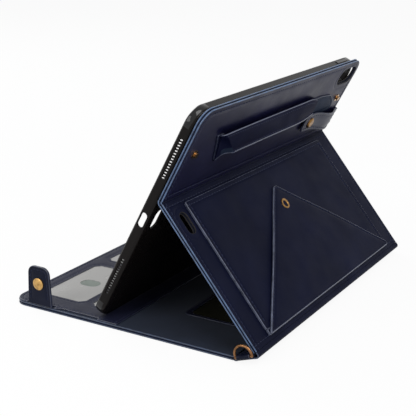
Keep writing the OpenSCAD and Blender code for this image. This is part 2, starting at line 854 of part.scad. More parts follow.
module speaker_slots() {
    for (side = [-1, 1]) for (row = [-1, 1]) for (i = [0:slot_count - 1])
        translate([side * shell_l / 2,
            shell_bottom + shell_h / 2 + row * (slot_row_offset - slot_pitch * (i - (slot_count - 1) / 2)),
            wall_mid_z])
            rotate([slot_lean, 0, 0]) cube([8, slot_w, slot_len], center = true);
}

module shell_cutouts() {
    translate([0, 0, shell_back - 1]) linear_extrude(shell_back_t + 2) camera_cut(1);
    translate([connector_x, shell_connector_y, shell_back - 1]) rotate([0, 0, 90])
        linear_extrude(shell_back_t + 2) slot_x(connector_l, connector_w);
    translate([shell_l / 2, shell_bottom + shell_h / 2, wall_mid_z]) rotate([90, 0, 90])
        linear_extrude(8, center = true) slot_x(port_l, port_w);
    speaker_slots();
}

// Space for a button cover, with fit at its two ends; its long faces slide on the opening's.
module volume_space(fit, depth_out) {
    translate([volume_x - volume_l / 2 - fit, shell_top - shell_wall - 1, wall_mid_z - button_w / 2])
        cube([volume_l + 2 * fit, shell_wall + 1 + depth_out, button_w]);
}

module power_space(fit, depth_out) {
    translate([-shell_l / 2 - depth_out, power_y - power_l / 2 - fit, wall_mid_z - button_w / 2])
        cube([shell_wall + 1 + depth_out, power_l + 2 * fit, button_w]);
}

// The four corners that the bumpers replace.
module bumper_zone() {
    for (x = [-1, 1]) for (y = [shell_bottom, shell_top])
        translate([x * shell_l / 2, y, (bumper_floor + shell_front) / 2])
            cube([2 * bumper_reach, 2 * bumper_reach, shell_front - bumper_floor + 1], center = true);
}

module shell_tray() {
    color("black") in_cover_frame() difference() {
        tray_body();
        tablet_bay();
        shell_cutouts();
        volume_space(button_fit, 2);
        power_space(button_fit, 2);
        bumper_zone();
    }
}

// Soft corners, a little proud of the tray.
module corner_bumpers() {
    color("black") in_cover_frame() intersection() {
        difference() {
            sheet(-shell_l / 2 - bumper_proud, shell_bottom, shell_l / 2 + bumper_proud, shell_top + bumper_proud,
                shell_floor, shell_front - shell_floor + bumper_proud, shell_corner_r, shell_corner_r);
            tablet_bay();
        }
        bumper_zone();
    }
}

module volume_cover() {
    color("black") in_cover_frame() difference() {
        volume_space(0, button_stand);
        translate([volume_x - volume_l / 2 - 1, shell_top - shell_wall - 2, wall_mid_z - 4])
            cube([volume_l + 2, 1.5 + button_travel, 8]);
    }
}

module power_cover() {
    color("black") in_cover_frame() difference() {
        power_space(0, button_stand);
        translate([-shell_l / 2 + shell_wall + 0.5 - button_travel, power_y - power_l / 2 - 1, wall_mid_z - 4])
            cube([3, power_l + 2, 8]);
    }
}

base_outer_leather();
base_board();
base_lining();
prop_magnets();
wake_magnets();
wallet_panel();
wallet_backing();
id_window_films();
rear_window_frame();
rear_window_film();
near_closure_tab();
far_closure_tab();
near_tab_snap();
far_tab_snap();
base_hinge_leather();
spine_outer_leather();
spine_board();
spine_lining();
spine_hinge_leather();
near_ring_loop();
far_ring_loop();
near_d_ring();
far_d_ring();
stand_outer_leather();
stand_board();
stand_lining();
document_pocket();
pocket_stud();
flap_anchor();
envelope_flap();
flap_snap();
fold_hinge_leather();
upper_outer_leather();
upper_board();
upper_lining();
strap_near_anchor();
hand_strap();
strap_far_anchor();
closure_studs();
keeper_stud();
keeper_tab();
keeper_snap();
bonding_pad();
shell_tray();
corner_bumpers();
volume_cover();
power_cover();
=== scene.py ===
"""Looks of the tablet folio case: leather sheets, seams, strap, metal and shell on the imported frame.

Lengths are in mm in the flat frames below and in metres in Blender.
"""

import json
import math

import bmesh
import bpy
import numpy as np
from mathutils import Vector
from mathutils.bvhtree import BVHTree
from mathutils.geometry import delaunay_2d_cdt
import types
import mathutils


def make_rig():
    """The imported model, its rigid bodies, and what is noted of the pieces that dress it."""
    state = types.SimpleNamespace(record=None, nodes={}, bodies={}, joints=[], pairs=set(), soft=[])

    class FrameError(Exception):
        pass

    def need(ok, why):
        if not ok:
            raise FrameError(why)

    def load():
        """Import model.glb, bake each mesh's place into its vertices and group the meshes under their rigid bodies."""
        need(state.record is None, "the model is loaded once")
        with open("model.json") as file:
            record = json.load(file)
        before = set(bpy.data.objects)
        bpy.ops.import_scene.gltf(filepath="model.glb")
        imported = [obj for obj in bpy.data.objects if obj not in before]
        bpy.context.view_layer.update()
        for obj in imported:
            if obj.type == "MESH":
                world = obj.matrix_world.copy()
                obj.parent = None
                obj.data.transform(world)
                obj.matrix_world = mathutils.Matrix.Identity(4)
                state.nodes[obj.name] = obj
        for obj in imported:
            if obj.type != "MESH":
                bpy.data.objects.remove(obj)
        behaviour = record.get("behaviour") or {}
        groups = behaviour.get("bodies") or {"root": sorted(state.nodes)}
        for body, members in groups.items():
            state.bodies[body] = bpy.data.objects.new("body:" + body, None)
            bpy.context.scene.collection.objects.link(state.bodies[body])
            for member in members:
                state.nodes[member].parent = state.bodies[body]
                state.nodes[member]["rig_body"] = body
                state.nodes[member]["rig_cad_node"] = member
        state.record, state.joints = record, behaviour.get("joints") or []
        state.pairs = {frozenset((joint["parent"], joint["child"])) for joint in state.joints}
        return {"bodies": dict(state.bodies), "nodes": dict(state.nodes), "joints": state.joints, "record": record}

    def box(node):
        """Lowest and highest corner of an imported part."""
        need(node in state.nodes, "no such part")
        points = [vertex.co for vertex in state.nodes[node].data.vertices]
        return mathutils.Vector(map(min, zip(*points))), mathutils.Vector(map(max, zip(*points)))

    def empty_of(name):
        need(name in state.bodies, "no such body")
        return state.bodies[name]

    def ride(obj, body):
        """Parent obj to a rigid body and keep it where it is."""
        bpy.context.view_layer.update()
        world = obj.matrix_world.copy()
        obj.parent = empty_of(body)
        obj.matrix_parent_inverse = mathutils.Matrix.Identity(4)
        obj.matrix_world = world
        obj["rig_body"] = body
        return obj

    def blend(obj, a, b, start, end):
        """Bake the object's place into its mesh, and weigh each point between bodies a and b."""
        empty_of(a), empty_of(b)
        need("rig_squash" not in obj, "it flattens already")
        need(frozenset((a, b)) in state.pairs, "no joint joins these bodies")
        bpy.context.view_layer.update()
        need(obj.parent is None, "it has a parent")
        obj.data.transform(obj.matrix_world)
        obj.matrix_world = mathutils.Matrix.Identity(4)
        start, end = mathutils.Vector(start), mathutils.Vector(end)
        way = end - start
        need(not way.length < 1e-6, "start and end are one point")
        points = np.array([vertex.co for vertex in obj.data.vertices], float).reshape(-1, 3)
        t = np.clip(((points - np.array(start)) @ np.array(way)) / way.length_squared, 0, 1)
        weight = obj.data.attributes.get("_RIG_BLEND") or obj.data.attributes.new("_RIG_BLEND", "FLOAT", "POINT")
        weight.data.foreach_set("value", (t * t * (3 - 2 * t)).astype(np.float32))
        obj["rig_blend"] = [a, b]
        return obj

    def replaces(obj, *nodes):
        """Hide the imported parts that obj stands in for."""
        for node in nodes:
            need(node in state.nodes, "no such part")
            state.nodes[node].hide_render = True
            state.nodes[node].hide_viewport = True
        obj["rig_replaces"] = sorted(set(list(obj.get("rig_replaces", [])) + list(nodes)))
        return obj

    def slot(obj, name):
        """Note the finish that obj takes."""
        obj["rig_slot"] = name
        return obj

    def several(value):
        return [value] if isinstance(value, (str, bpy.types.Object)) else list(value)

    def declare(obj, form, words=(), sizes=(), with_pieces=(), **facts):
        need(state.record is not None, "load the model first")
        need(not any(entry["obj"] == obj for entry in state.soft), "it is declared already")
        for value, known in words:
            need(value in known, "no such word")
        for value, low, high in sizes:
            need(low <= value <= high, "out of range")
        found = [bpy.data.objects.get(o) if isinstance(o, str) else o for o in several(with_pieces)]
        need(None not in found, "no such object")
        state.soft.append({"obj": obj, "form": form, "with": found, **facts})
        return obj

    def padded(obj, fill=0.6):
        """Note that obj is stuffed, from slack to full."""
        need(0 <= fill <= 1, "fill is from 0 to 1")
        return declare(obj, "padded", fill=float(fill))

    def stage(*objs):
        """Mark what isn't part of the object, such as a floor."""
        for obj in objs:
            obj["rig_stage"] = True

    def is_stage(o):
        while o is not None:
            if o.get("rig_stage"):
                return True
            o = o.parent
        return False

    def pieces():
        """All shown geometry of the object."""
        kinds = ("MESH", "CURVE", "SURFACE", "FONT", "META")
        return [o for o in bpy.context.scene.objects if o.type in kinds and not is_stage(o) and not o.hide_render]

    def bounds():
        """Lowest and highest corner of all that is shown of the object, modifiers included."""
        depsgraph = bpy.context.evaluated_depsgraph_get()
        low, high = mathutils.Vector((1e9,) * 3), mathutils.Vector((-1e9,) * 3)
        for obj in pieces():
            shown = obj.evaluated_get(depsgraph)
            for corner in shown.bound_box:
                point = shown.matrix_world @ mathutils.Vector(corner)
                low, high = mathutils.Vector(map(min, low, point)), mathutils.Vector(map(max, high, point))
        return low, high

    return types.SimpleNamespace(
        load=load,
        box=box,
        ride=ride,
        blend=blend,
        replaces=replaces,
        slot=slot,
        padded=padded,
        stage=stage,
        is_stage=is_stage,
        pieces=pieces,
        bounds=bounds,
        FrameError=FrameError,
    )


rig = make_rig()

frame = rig.load()
cad_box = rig.bounds()
nodes = frame["nodes"]
joints = {j["name"]: j for j in frame["record"]["behaviour"]["joints"]}

MM = 0.001
TINY = 1e-12

# ---------------------------------------------------------------- camera
IMAGE_W = 416
IMAGE_H = 416
LENS = 85.84
SENSOR = 36.0
CAMERA_AT = (0.6460, 0.3787, 0.2921)
CAMERA_HEADING = math.radians(120.97)
CAMERA_DIP = math.radians(17.35)
CLIP_END = 20

# Places in the photograph: the object's limits, then features, then seams.
EDGE_POINTS = {"left": 19.5, "right": 396.7, "top": 55.8, "bottom": 360.7}
FEATURE_POINTS = {
    "near_tab_snap": (39.6, 282.7),
    "near_stud": (193.8, 155.3),
    "far_stud": (336.6, 97.7),
    "flap_apex": (275.7, 185.5),
    "flap_snap": (287.0, 202.0),
    "keeper_snap": (308.5, 122.5),
    "near_ring": (245.4, 349.5),
    "fold_near": (158.3, 202.0),
    "cover_far_corner": (360.1, 64.1),
    "stand_slot": (188.0, 223.0),
}
SEAM_POINTS = {
    "cover_seam": (254.2, 100.1),
    "stand_seam": (203.8, 263.2),
    "pocket_seam": (230.5, 268.0),
    "flap_seam": (274.3, 260.0),
    "tab_seam": (40.5, 270.0),
    "wallet_seam": (75.0, 313.0),
}


def add_camera():
    data = bpy.data.cameras.new("camera")
    data.lens = LENS
    data.sensor_width = SENSOR
    data.sensor_fit = "AUTO"
    data.clip_end = CLIP_END
    camera = bpy.data.objects.new("camera", data)
    camera.location = CAMERA_AT
    camera.rotation_euler = (math.pi / 2 - CAMERA_DIP, 0, CAMERA_HEADING)
    bpy.context.collection.objects.link(camera)
    bpy.context.scene.camera = camera
    bpy.context.view_layer.update()
    return camera


camera = add_camera()


def ray_through(x, y):
    """Start and direction of the camera's ray through an image point."""
    data = camera.data
    side = max(IMAGE_W, IMAGE_H)
    direction = Vector((
        x - IMAGE_W / 2 + data.shift_x * side,
        IMAGE_H / 2 - y + data.shift_y * side,
        -side * data.lens / data.sensor_width,
    ))
    return camera.location.copy(), (camera.matrix_world.to_3x3() @ direction).normalized()


def place(point, carrier):
    """Place on the carrier's surface that an image point shows, or the place nearest its ray."""
    tree = BVHTree.FromObject(carrier, bpy.context.evaluated_depsgraph_get())
    start, direction = ray_through(*point)
    hit = tree.ray_cast(start, direction)[0]
    if hit is None:
        centre = sum((Vector(corner) for corner in carrier.bound_box), Vector()) / 8
        nearest = start + direction * (centre - start).dot(direction)
        hit = tree.find_nearest(nearest)[0]
    return hit


def image_of(points):
    """Image x and y of world points, as an array."""
    points = np.asarray(points, dtype=float)
    turned = (points - np.array(camera.location)) @ np.array(camera.matrix_world.to_3x3())
    scale = max(IMAGE_W, IMAGE_H) * camera.data.lens / camera.data.sensor_width / -turned[:, 2]
    return np.stack((IMAGE_W / 2 + turned[:, 0] * scale, IMAGE_H / 2 - turned[:, 1] * scale), axis=1)


# ---------------------------------------------------------------- flat frames on the case
class Plane:
    """x along the hinges, s along the panel and h out of its face."""

    def __init__(self, origin, along, out, across=(1, 0, 0)):
        self.origin = Vector(origin)
        self.across = Vector(across)
        self.along = Vector(along).normalized()
        self.out = Vector(out).normalized()

    def at(self, x, s, h=0.0):
        return self.origin + (self.across * x + self.along * s + self.out * h) * MM

    def flat(self, point):
        offset = (Vector(point) - self.origin) / MM
        return offset.dot(self.across), offset.dot(self.along)


class Bend:
    """A strip bent round an axis: s runs over its outer face, h out of it.

    It turns from radial towards tangent, with a flat before and after the turn.
    With inward set, the outer face is the one that looks at the axis.
    """

    def __init__(self, axis, radial, tangent, radius, sweep, flat, across=(1, 0, 0), inward=False):
        self.axis = Vector(axis)
        self.radial = Vector(radial)
        self.tangent = Vector(tangent)
        self.across = Vector(across)
        self.radius = radius
        self.sweep = sweep
        self.flat = flat
        self.rise = -1 if inward else 1
        self.length = 2 * flat + radius * sweep

    def at(self, x, s, h=0.0):
        angle = min(max((s - self.flat) / self.radius, 0), self.sweep)
        beyond = min(s - self.flat, 0) + max(s - self.length + self.flat, 0)
        radial = self.radial * math.cos(angle) + self.tangent * math.sin(angle)
        tangent = self.tangent * math.cos(angle) - self.radial * math.sin(angle)
        offset = self.across * x + radial * (self.radius + self.rise * h) + tangent * beyond
        return self.axis + offset * MM


def hinge_bend(axis, start, end, flat):
    """Bend round a spine hinge's axis, between two angles measured from +Y towards +Z."""
    radial = (0, math.cos(start), math.sin(start))
    return Bend(axis, radial, (0, -radial[2], radial[1]), SPINE_DEPTH, end - start, flat)


def joint_at(name):
    return Vector(joints[name]["pos_m"])


LEATHER_T = 1.0
PANEL_T = 3.2
SPINE_DEPTH = 2.2
FOLD_DEPTH = LEATHER_T / 2

FOLD_AXIS = joint_at("fold_hinge")
STAND_AXIS = joint_at("stand_hinge")
BASE_AXIS = joint_at("base_spine_hinge")
UP_COVER = Vector(joints["keeper_hinge"]["axis"])
UP_SPINE = Vector(joints["near_ring_swing"]["axis"])
STAND_CHORD = STAND_AXIS - FOLD_AXIS
STAND_TILT = math.atan2(-STAND_CHORD.z, STAND_CHORD.y) - math.asin(
    (SPINE_DEPTH - FOLD_DEPTH) * MM / STAND_CHORD.length)
SPINE_TILT = math.atan2(UP_SPINE.z, UP_SPINE.y)

cover_out = Vector((0, UP_COVER.z, -UP_COVER.y))
stand_out = Vector((0, math.sin(STAND_TILT), math.cos(STAND_TILT)))
spine_out = Vector((0, UP_SPINE.z, -UP_SPINE.y))
COVER = Plane(FOLD_AXIS + cover_out * FOLD_DEPTH * MM, UP_COVER, cover_out)
STAND = Plane(FOLD_AXIS + stand_out * FOLD_DEPTH * MM,
              (0, math.cos(STAND_TILT), -math.sin(STAND_TILT)), stand_out)
BASE = Plane((0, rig.box("base_outer_leather")[0][1], 0), (0, 1, 0), (0, 0, 1))
SPINE = Plane(BASE_AXIS + spine_out * SPINE_DEPTH * MM, UP_SPINE, spine_out)
NEAR_TAB = Plane(joint_at("near_tab_hinge"), (0, 0, 1), (1, 0, 0), (0, 1, 0))
FAR_TAB = Plane(joint_at("far_tab_hinge"), (0, 0, 1), (-1, 0, 0), (0, 1, 0))

HALF_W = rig.box("upper_outer_leather")[1][0] / MM
COVER_TOP = COVER.flat(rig.box("upper_outer_leather")[1])[1]
BASE_LEN = (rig.box("base_outer_leather")[1][1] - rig.box("base_outer_leather")[0][1]) / MM
STAND_FOOT = 115.7
BEND_FLAT = 1.8
SPINE_LEN = 16.2
FOLD_R = 0.9
FOLD_TURN = stand_out.angle(cover_out)
FOLD_START = (FOLD_R + FOLD_DEPTH) * math.tan(FOLD_TURN / 2)


# ---------------------------------------------------------------- outlines
SHARPEST = 0.3


def rounded(corners, radius=1.0, steps=6):
    """Closed outline through corners (x, s) or (x, s, own radius), each corner rounded."""
    outline = []
    for i, corner in enumerate(corners):
        p = Vector(corner[:2])
        r = corner[2] if len(corner) > 2 else radius
        u = (Vector(corners[i - 1][:2]) - p).normalized()
        v = (Vector(corners[(i + 1) % len(corners)][:2]) - p).normalized()
        half = u.angle(v) / 2
        centre = p + (u + v).normalized() * r / math.sin(half)
        first = p + u * r / math.tan(half) - centre
        last = p + v * r / math.tan(half) - centre
        sweep = first.angle_signed(last)
        for k in range(steps + 1):
            angle = -sweep * k / steps
            turned = Vector((first.x * math.cos(angle) - first.y * math.sin(angle),
                             first.x * math.sin(angle) + first.y * math.cos(angle)))
            outline.append(tuple(centre + turned))
    return outline


def box_outline(x1, s1, x2, s2, r_low, r_high):
    return rounded([(x1, s1, r_low), (x2, s1, r_low), (x2, s2, r_high), (x1, s2, r_high)])


def slot_outline(x, s, length, width, upright=False):
    """Slot with round ends, run clockwise as holes are."""
    a, b = (width, length) if upright else (length, width)
    r = width / 2 - 0.01
    return box_outline(x - a / 2, s - b / 2, x + a / 2, s + b / 2, r, r)[::-1]


def resample(loop, step):
    """The loop with its long sides divided."""
    out = []
    for a, b in zip(loop, loop[1:] + loop[:1]):
        a, b = Vector(a), Vector(b)
        parts = max(1, round((b - a).length / step))
        out += [tuple(a.lerp(b, k / parts)) for k in range(parts)]
    return out


def inset(loop, distance):
    """The loop moved to its left by a distance: inwards for an outline, outwards for a hole."""
    p = np.asarray(loop)
    ahead = np.roll(p, -1, axis=0) - p
    ahead /= np.linalg.norm(ahead, axis=1)[:, None] + TINY
    behind = np.roll(ahead, 1, axis=0)
    left = np.stack((-ahead[:, 1] - behind[:, 1], ahead[:, 0] + behind[:, 0]), axis=1)
    spread = 1 + (ahead * behind).sum(axis=1)
    return p + left / np.maximum(spread, SHARPEST)[:, None] * distance


def distance_to(points, loops):
    """Distance from each point to the nearest side of the loops."""
    p = np.asarray(points)[:, None, :]
    best = np.full(len(points), np.inf)
    for loop in loops:
        a = np.asarray(loop)
        ab = np.roll(a, -1, axis=0) - a
        t = np.clip(((p - a) * ab).sum(-1) / ((ab * ab).sum(-1) + TINY), 0, 1)
        best = np.minimum(best, np.linalg.norm(p - a - ab * t[..., None], axis=-1).min(axis=1))
    return best


def inside(points, loop):
    """True for each point that lies within the loop."""
    x, y = np.asarray(points).T
    a = np.asarray(loop)
    b = np.roll(a, -1, axis=0)
    within = np.zeros(len(x), dtype=bool)
    for (x1, y1), (x2, y2) in zip(a, b):
        if y1 != y2:
            crosses = (y1 > y) != (y2 > y)
            within ^= crosses & (x < (x2 - x1) * (y - y1) / (y2 - y1) + x1)
    return within


def smooth(t):
    t = np.clip(t, 0, 1)
    return t * t * (3 - 2 * t)


# ---------------------------------------------------------------- sheets
WELD = 2e-6
MERGE = 1e-6
SHARP_ANGLE = 40
ROW_SHARE = 0.97
EDGE_TURNS = [math.radians(angle) for angle in (0, 30, 60, 90)]
DEGREES_PER_FOLD = 9
HALF_COLUMNS = 24


def add_object(name, mesh, looks):
    piece = bpy.data.objects.new(name, mesh)
    for look in looks:
        mesh.materials.append(look)
    bpy.context.collection.objects.link(piece)
    return piece


def finish_mesh(name, bm, looks, sharp=SHARP_ANGLE):
    bmesh.ops.remove_doubles(bm, verts=bm.verts, dist=WELD)
    bmesh.ops.recalc_face_normals(bm, faces=bm.faces)
    mesh = bpy.data.meshes.new(name)
    bm.to_mesh(mesh)
    bm.free()
    mesh.shade_smooth()
    mesh.set_sharp_from_angle(angle=math.radians(sharp))
    return add_object(name, mesh, looks)


def dress(piece, body, slot, *replaced):
    """Puts a finished piece on its body, in the place of CAD nodes."""
    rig.ride(piece, body)
    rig.slot(piece, slot)
    if replaced:
        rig.replaces(piece, *replaced)
    return piece


def add_rings(bm, rings, look=lambda number, k: 0, capped=True):
    """Skin from ring to ring of points, with a cap at each end; look gives each face's material."""
    rings = [[bm.verts.new(point) for point in ring] for ring in rings]
    n = len(rings[0])
    for number, (ring, ahead) in enumerate(zip(rings, rings[1:])):
        for k in range(n):
            face = bm.faces.new((ring[k], ring[(k + 1) % n], ahead[(k + 1) % n], ahead[k]))
            face.material_index = look(number, k)
    if capped:
        bm.faces.new(rings[0][::-1])
        bm.faces.new(rings[-1]).material_index = look(len(rings) - 1, n - 1)


def inner_points(loops, grid, rows):
    """Points inside the loops: rows at set distances from the edge, then an even grid."""
    near = [inset(loop, row) for loop in loops for row in rows]
    wanted = [np.full(len(loop), row) for loop in loops for row in rows]
    points = np.concatenate(near)
    kept = distance_to(points, loops) > np.concatenate(wanted) * ROW_SHARE
    outer = np.asarray(loops[0])
    low, high = outer.min(axis=0), outer.max(axis=0)
    across = np.arange(low[0] + grid / 2, high[0], grid)
    along = np.arange(low[1] + grid / 2, high[1], grid)
    mesh_points = np.stack(np.meshgrid(across, along), axis=-1).reshape(-1, 2)
    mesh_points = mesh_points[distance_to(mesh_points, loops) > rows[-1] + grid / 2]
    points = np.concatenate((points[kept], mesh_points))
    kept = inside(points, loops[0])
    for hole in loops[1:]:
        kept &= ~inside(points, hole)
    return points[kept]


def flat_mesh(loops, points):
    """Triangles that fill the loops through the given points."""
    corners = [Vector(p) for loop in loops for p in loop] + [Vector(p) for p in points]
    sides = []
    start = 0
    for loop in loops:
        n = len(loop)
        sides += [(start + k, start + (k + 1) % n) for k in range(n)]
        start += n
    verts, _, faces, *_ = delaunay_2d_cdt(corners, sides, [], 1, MERGE)
    verts = np.array([tuple(v) for v in verts])
    centres = np.array([verts[list(face)].mean(axis=0) for face in faces])
    kept = np.ones(len(faces), dtype=bool)
    for hole in loops[1:]:
        kept &= ~inside(centres, hole)
    return verts, [face for face, keep in zip(faces, kept) if keep]


def sheet(name, base, loops, low, high, looks, on=None, relief=None, lift=None,
          grid=8.0, rows=(1.0,), edge=0.35, step=2.5, bare=None):
    """A leather sheet between heights low and high, with rounded painted edges.

    The looks are the sheet's own, its outline's edge paint and, where it differs, its holes'.
    on is the body, slot and nodes that it is dressed with.
    relief(x, s, distance from the edge) shapes its outer face and lift bends the whole sheet.
    bare(x, s) is true where an edge isn't painted.
    """
    loops = [resample(loop, step) for loop in loops]
    bm = bmesh.new()

    def world(x, s, h):
        return base.at(x, s, h + (float(lift(x, s)) if lift else 0))

    levels = [(edge * (1 - math.sin(t)), low + edge * (1 - math.cos(t))) for t in EDGE_TURNS]
    levels += [(edge * (1 - math.sin(t)), high - edge * (1 - math.cos(t))) for t in reversed(EDGE_TURNS)]
    for loop in loops:
        paint = 1 if loop is loops[0] else len(looks) - 1
        add_rings(bm, [[world(x, s, h) for x, s in inset(loop, d)] for d, h in levels],
                  lambda number, k: 0 if bare and bare(*loop[k]) else paint, capped=False)
    rims = [[tuple(p) for p in inset(loop, edge)] for loop in loops]
    for height, points in ((low, []), (high, inner_points(loops, grid, rows))):
        verts, faces = flat_mesh(rims, points)
        x, s = verts.T
        heights = np.full(len(verts), float(height))
        if relief and height == high:
            heights += relief(x, s, np.maximum(distance_to(verts, loops) - edge, 0))
        corners = [bm.verts.new(world(*corner)) for corner in zip(x, s, heights)]
        for face in faces:
            bm.faces.new([corners[k] for k in face])
    piece = finish_mesh(name, bm, looks)
    return dress(piece, *on) if on else piece


def bent_strip(name, bend, low, high, looks, short=0):
    """A strip across the case that follows a bend, with its side edges painted.

    It stops short of the case's sides by a distance.
    """
    half = HALF_W - short
    turns = max(4, round(math.degrees(bend.sweep) / DEGREES_PER_FOLD))
    turned = [bend.flat + bend.radius * bend.sweep * k / turns for k in range(turns + 1)]
    stations = [0, *turned, bend.length] if bend.flat else turned
    columns = [half * (k / HALF_COLUMNS - 1) for k in range(2 * HALF_COLUMNS + 1)]
    bm = bmesh.new()
    below, above = ([[bm.verts.new(bend.at(x, s, h)) for s in stations] for x in columns]
                    for h in (low, high))
    for side in (below, above):
        for row, following in zip(side, side[1:]):
            for k in range(len(stations) - 1):
                bm.faces.new((row[k], row[k + 1], following[k + 1], following[k]))
    for k in range(len(stations) - 1):
        for i in (0, -1):
            face = bm.faces.new((below[i][k], below[i][k + 1], above[i][k + 1], above[i][k]))
            face.material_index = 1
    for i in range(len(columns) - 1):
        for k in (0, -1):
            bm.faces.new((below[i][k], below[i + 1][k], above[i + 1][k], above[i][k]))
    return finish_mesh(name, bm, looks)


# ---------------------------------------------------------------- seams
GROOVE_HALF = 0.55
PUFF_RUN = 2.5
STITCH_PITCH = 3.4
STITCH_LENGTH = 2.5
STITCH_R = 0.24
STITCH_SIDES = 6
# A stitch from end to end: place along it, share of its radius.
STITCH_SHAPE = ((-0.5, 0.35), (-0.38, 0.85), (0.0, 1.0), (0.38, 0.85), (0.5, 0.35))
THREAD_SINK = 0.06


def sewn(seam, rise, groove=0.22):
    """Relief of a sewn sheet: it dips along its seam and stands up by rise inside it."""
    def relief(x, s, d):
        return rise * smooth((d - seam) / PUFF_RUN) - groove * np.exp(-(((d - seam) / GROOVE_HALF) ** 2))
    return relief


def rows_for(seam):
    return (0.6, seam - 0.9, seam - 0.45, seam, seam + 0.45, seam + 0.9, seam + 1.8, seam + 3)


def seam_path(outline, seam, step=3):
    return inset(resample(outline, step), seam)


def seam_inset(point, base, loop, node):
    """Distance from the outline at which an image point shows a seam on a node."""
    spot = base.flat(place(SEAM_POINTS[point], nodes[node]))
    return float(distance_to([spot], [loop])[0])


def stitches(name, spots, radius=STITCH_R):
    """One object of thread stitches; each spot is a centre, a direction and a normal."""
    bm = bmesh.new()
    for centre, direction, normal in spots:
        side = direction.cross(normal).normalized()
        rings = []
        for along, size in STITCH_SHAPE:
            middle = centre + direction * along * STITCH_LENGTH * MM - normal * (1 - size) * radius * MM
            rings.append([middle + (side * math.cos(a) + normal * math.sin(a)) * size * radius * MM
                          for a in (k * math.tau / STITCH_SIDES for k in range(STITCH_SIDES))])
        add_rings(bm, rings)
    return finish_mesh(name, bm, [THREAD], sharp=80)


def seam_spots(base, path, height, out=None):
    """Stitch places at an even pitch along a closed path (x, s), facing out of its sheet."""
    out = out or base.out
    points = [Vector(p) for p in path]
    points.append(points[0])
    steps = [(b - a).length for a, b in zip(points, points[1:])]
    count = max(1, round(sum(steps) / STITCH_PITCH))
    spots = []
    walked = 0
    segment = 0
    for k in range(count):
        target = (k + 0.5) * sum(steps) / count
        while walked + steps[segment] < target:
            walked += steps[segment]
            segment += 1
        a, b = points[segment], points[segment + 1]
        middle = a.lerp(b, (target - walked) / steps[segment])
        half = (b - a).normalized() * 0.5
        here = base.at(*middle, height(*middle))
        ahead = base.at(*(middle + half), height(*(middle + half)))
        behind = base.at(*(middle - half), height(*(middle - half)))
        across = base.at(*(middle + Vector((-half.y, half.x))), height(*middle))
        direction = (ahead - behind).normalized()
        normal = direction.cross(across - here).normalized()
        if normal.dot(out) < 0:
            normal = -normal
        spots.append((here, direction, normal))
    return spots


def sew(name, base, paths, height, body, slot, kept=None, out=None, radius=STITCH_R):
    """Thread along closed paths at a height(x, s), where kept(s) is true."""
    spots = [spot for path in paths for spot in seam_spots(base, path, height, out)]
    if kept:
        spots = [spot for spot in spots if kept(base.flat(spot[0])[1])]
    dress(stitches(name, spots, radius), body, slot)


# ---------------------------------------------------------------- materials
def set_inputs(tree, node, inputs):
    """Gives each named input a plain value or another node's output."""
    for socket, value in inputs.items():
        if isinstance(value, bpy.types.NodeSocket):
            tree.links.new(value, node.inputs[socket])
        else:
            node.inputs[socket].default_value = value


def add_node(tree, kind, inputs, operation=None):
    node = tree.nodes.new("ShaderNode" + kind)
    if operation:
        node.operation = operation
    set_inputs(tree, node, inputs)
    return node


def noise_node(tree, where, scale, detail):
    """Clouds of noise, or cells where detail is None."""
    inputs = {"Vector": where, "Scale": scale}
    if detail is None:
        return add_node(tree, "TexVoronoi", inputs).outputs["Distance"]
    return add_node(tree, "TexNoise", {**inputs, "Detail": detail}).outputs["Fac"]


def tone_node(tree, clouds, colour, tones):
    """Shares of a colour at places (place, share) in the clouds."""
    node = add_node(tree, "ValToRGB", {"Fac": clouds})
    stops = [(place, (*(min(1.0, c * share) for c in colour), 1)) for place, share in tones]
    elements = node.color_ramp.elements
    elements[0].position, elements[0].color = stops[0]
    elements[1].position, elements[1].color = stops[-1]
    for position, tone in stops[1:-1]:
        elements.new(position).color = tone
    return node.outputs["Color"]


def new_material(name, colour, sockets, clouds, tones, gloss, bumps):
    """A material whose colour and gloss drift with clouds of noise, over bumps.

    Sockets holds the plain values on the shader itself. Clouds are (scale, detail). Gloss is the
    clouds' low and high and the roughness there, after clouds of its own where it has them. Bumps
    are (scale, detail, strength, distance in mm).
    """
    material = bpy.data.materials.new(name)
    material.use_nodes = True
    tree = material.node_tree
    shader = tree.nodes["Principled BSDF"]
    where = tree.nodes.new("ShaderNodeTexCoord").outputs["Object"]
    drift = noise_node(tree, where, *clouds)
    set_inputs(tree, shader, {**sockets, "Base Color": (*colour, 1)})
    set_inputs(tree, shader, {"Base Color": tone_node(tree, drift, colour, tones)})
    if gloss:
        *own, low, high, rough_low, rough_high = gloss
        varied = add_node(tree, "MapRange", {
            "Value": noise_node(tree, where, *own) if own else drift,
            "From Min": low, "From Max": high, "To Min": rough_low, "To Max": rough_high})
        set_inputs(tree, shader, {"Roughness": varied.outputs["Result"]})
    below = {}
    for scale, detail, strength, distance in bumps:
        bump = add_node(tree, "Bump", {"Strength": strength, "Distance": distance * MM,
                                       "Height": noise_node(tree, where, scale, detail), **below})
        below = {"Normal": bump.outputs["Normal"]}
    set_inputs(tree, shader, below)
    return material


def leather_material(name, colour, rough, specular=0.06, grain=0.35):
    """Smooth dyed leather: uneven dye, fine pebble grain, soft creases."""
    return new_material(
        name, colour, {"Specular IOR Level": specular, "Specular Tint": (0.72, 0.78, 1.0, 1)},
        clouds=(26, 4), tones=((0.3, 0.78), (0.52, 1), (0.75, 1.32)),
        gloss=(60, 5, 0.3, 0.7, rough - 0.05, rough + 0.08),
        bumps=((45, 2, 0.35, 0.25), (1100, None, grain, 0.05), (420, 6, 0.3, 0.05)))


def paint_material(name, colour):
    """Edge paint: glossy, with brush marks and small worn places."""
    return new_material(
        name, colour, {"Specular IOR Level": 0.5},
        clouds=(190, 5), tones=((0.34, 0.62), (0.5, 1), (0.72, 1.35)),
        gloss=(0.3, 0.7, 0.26, 0.5), bumps=((700, 3, 0.3, 0.06),))


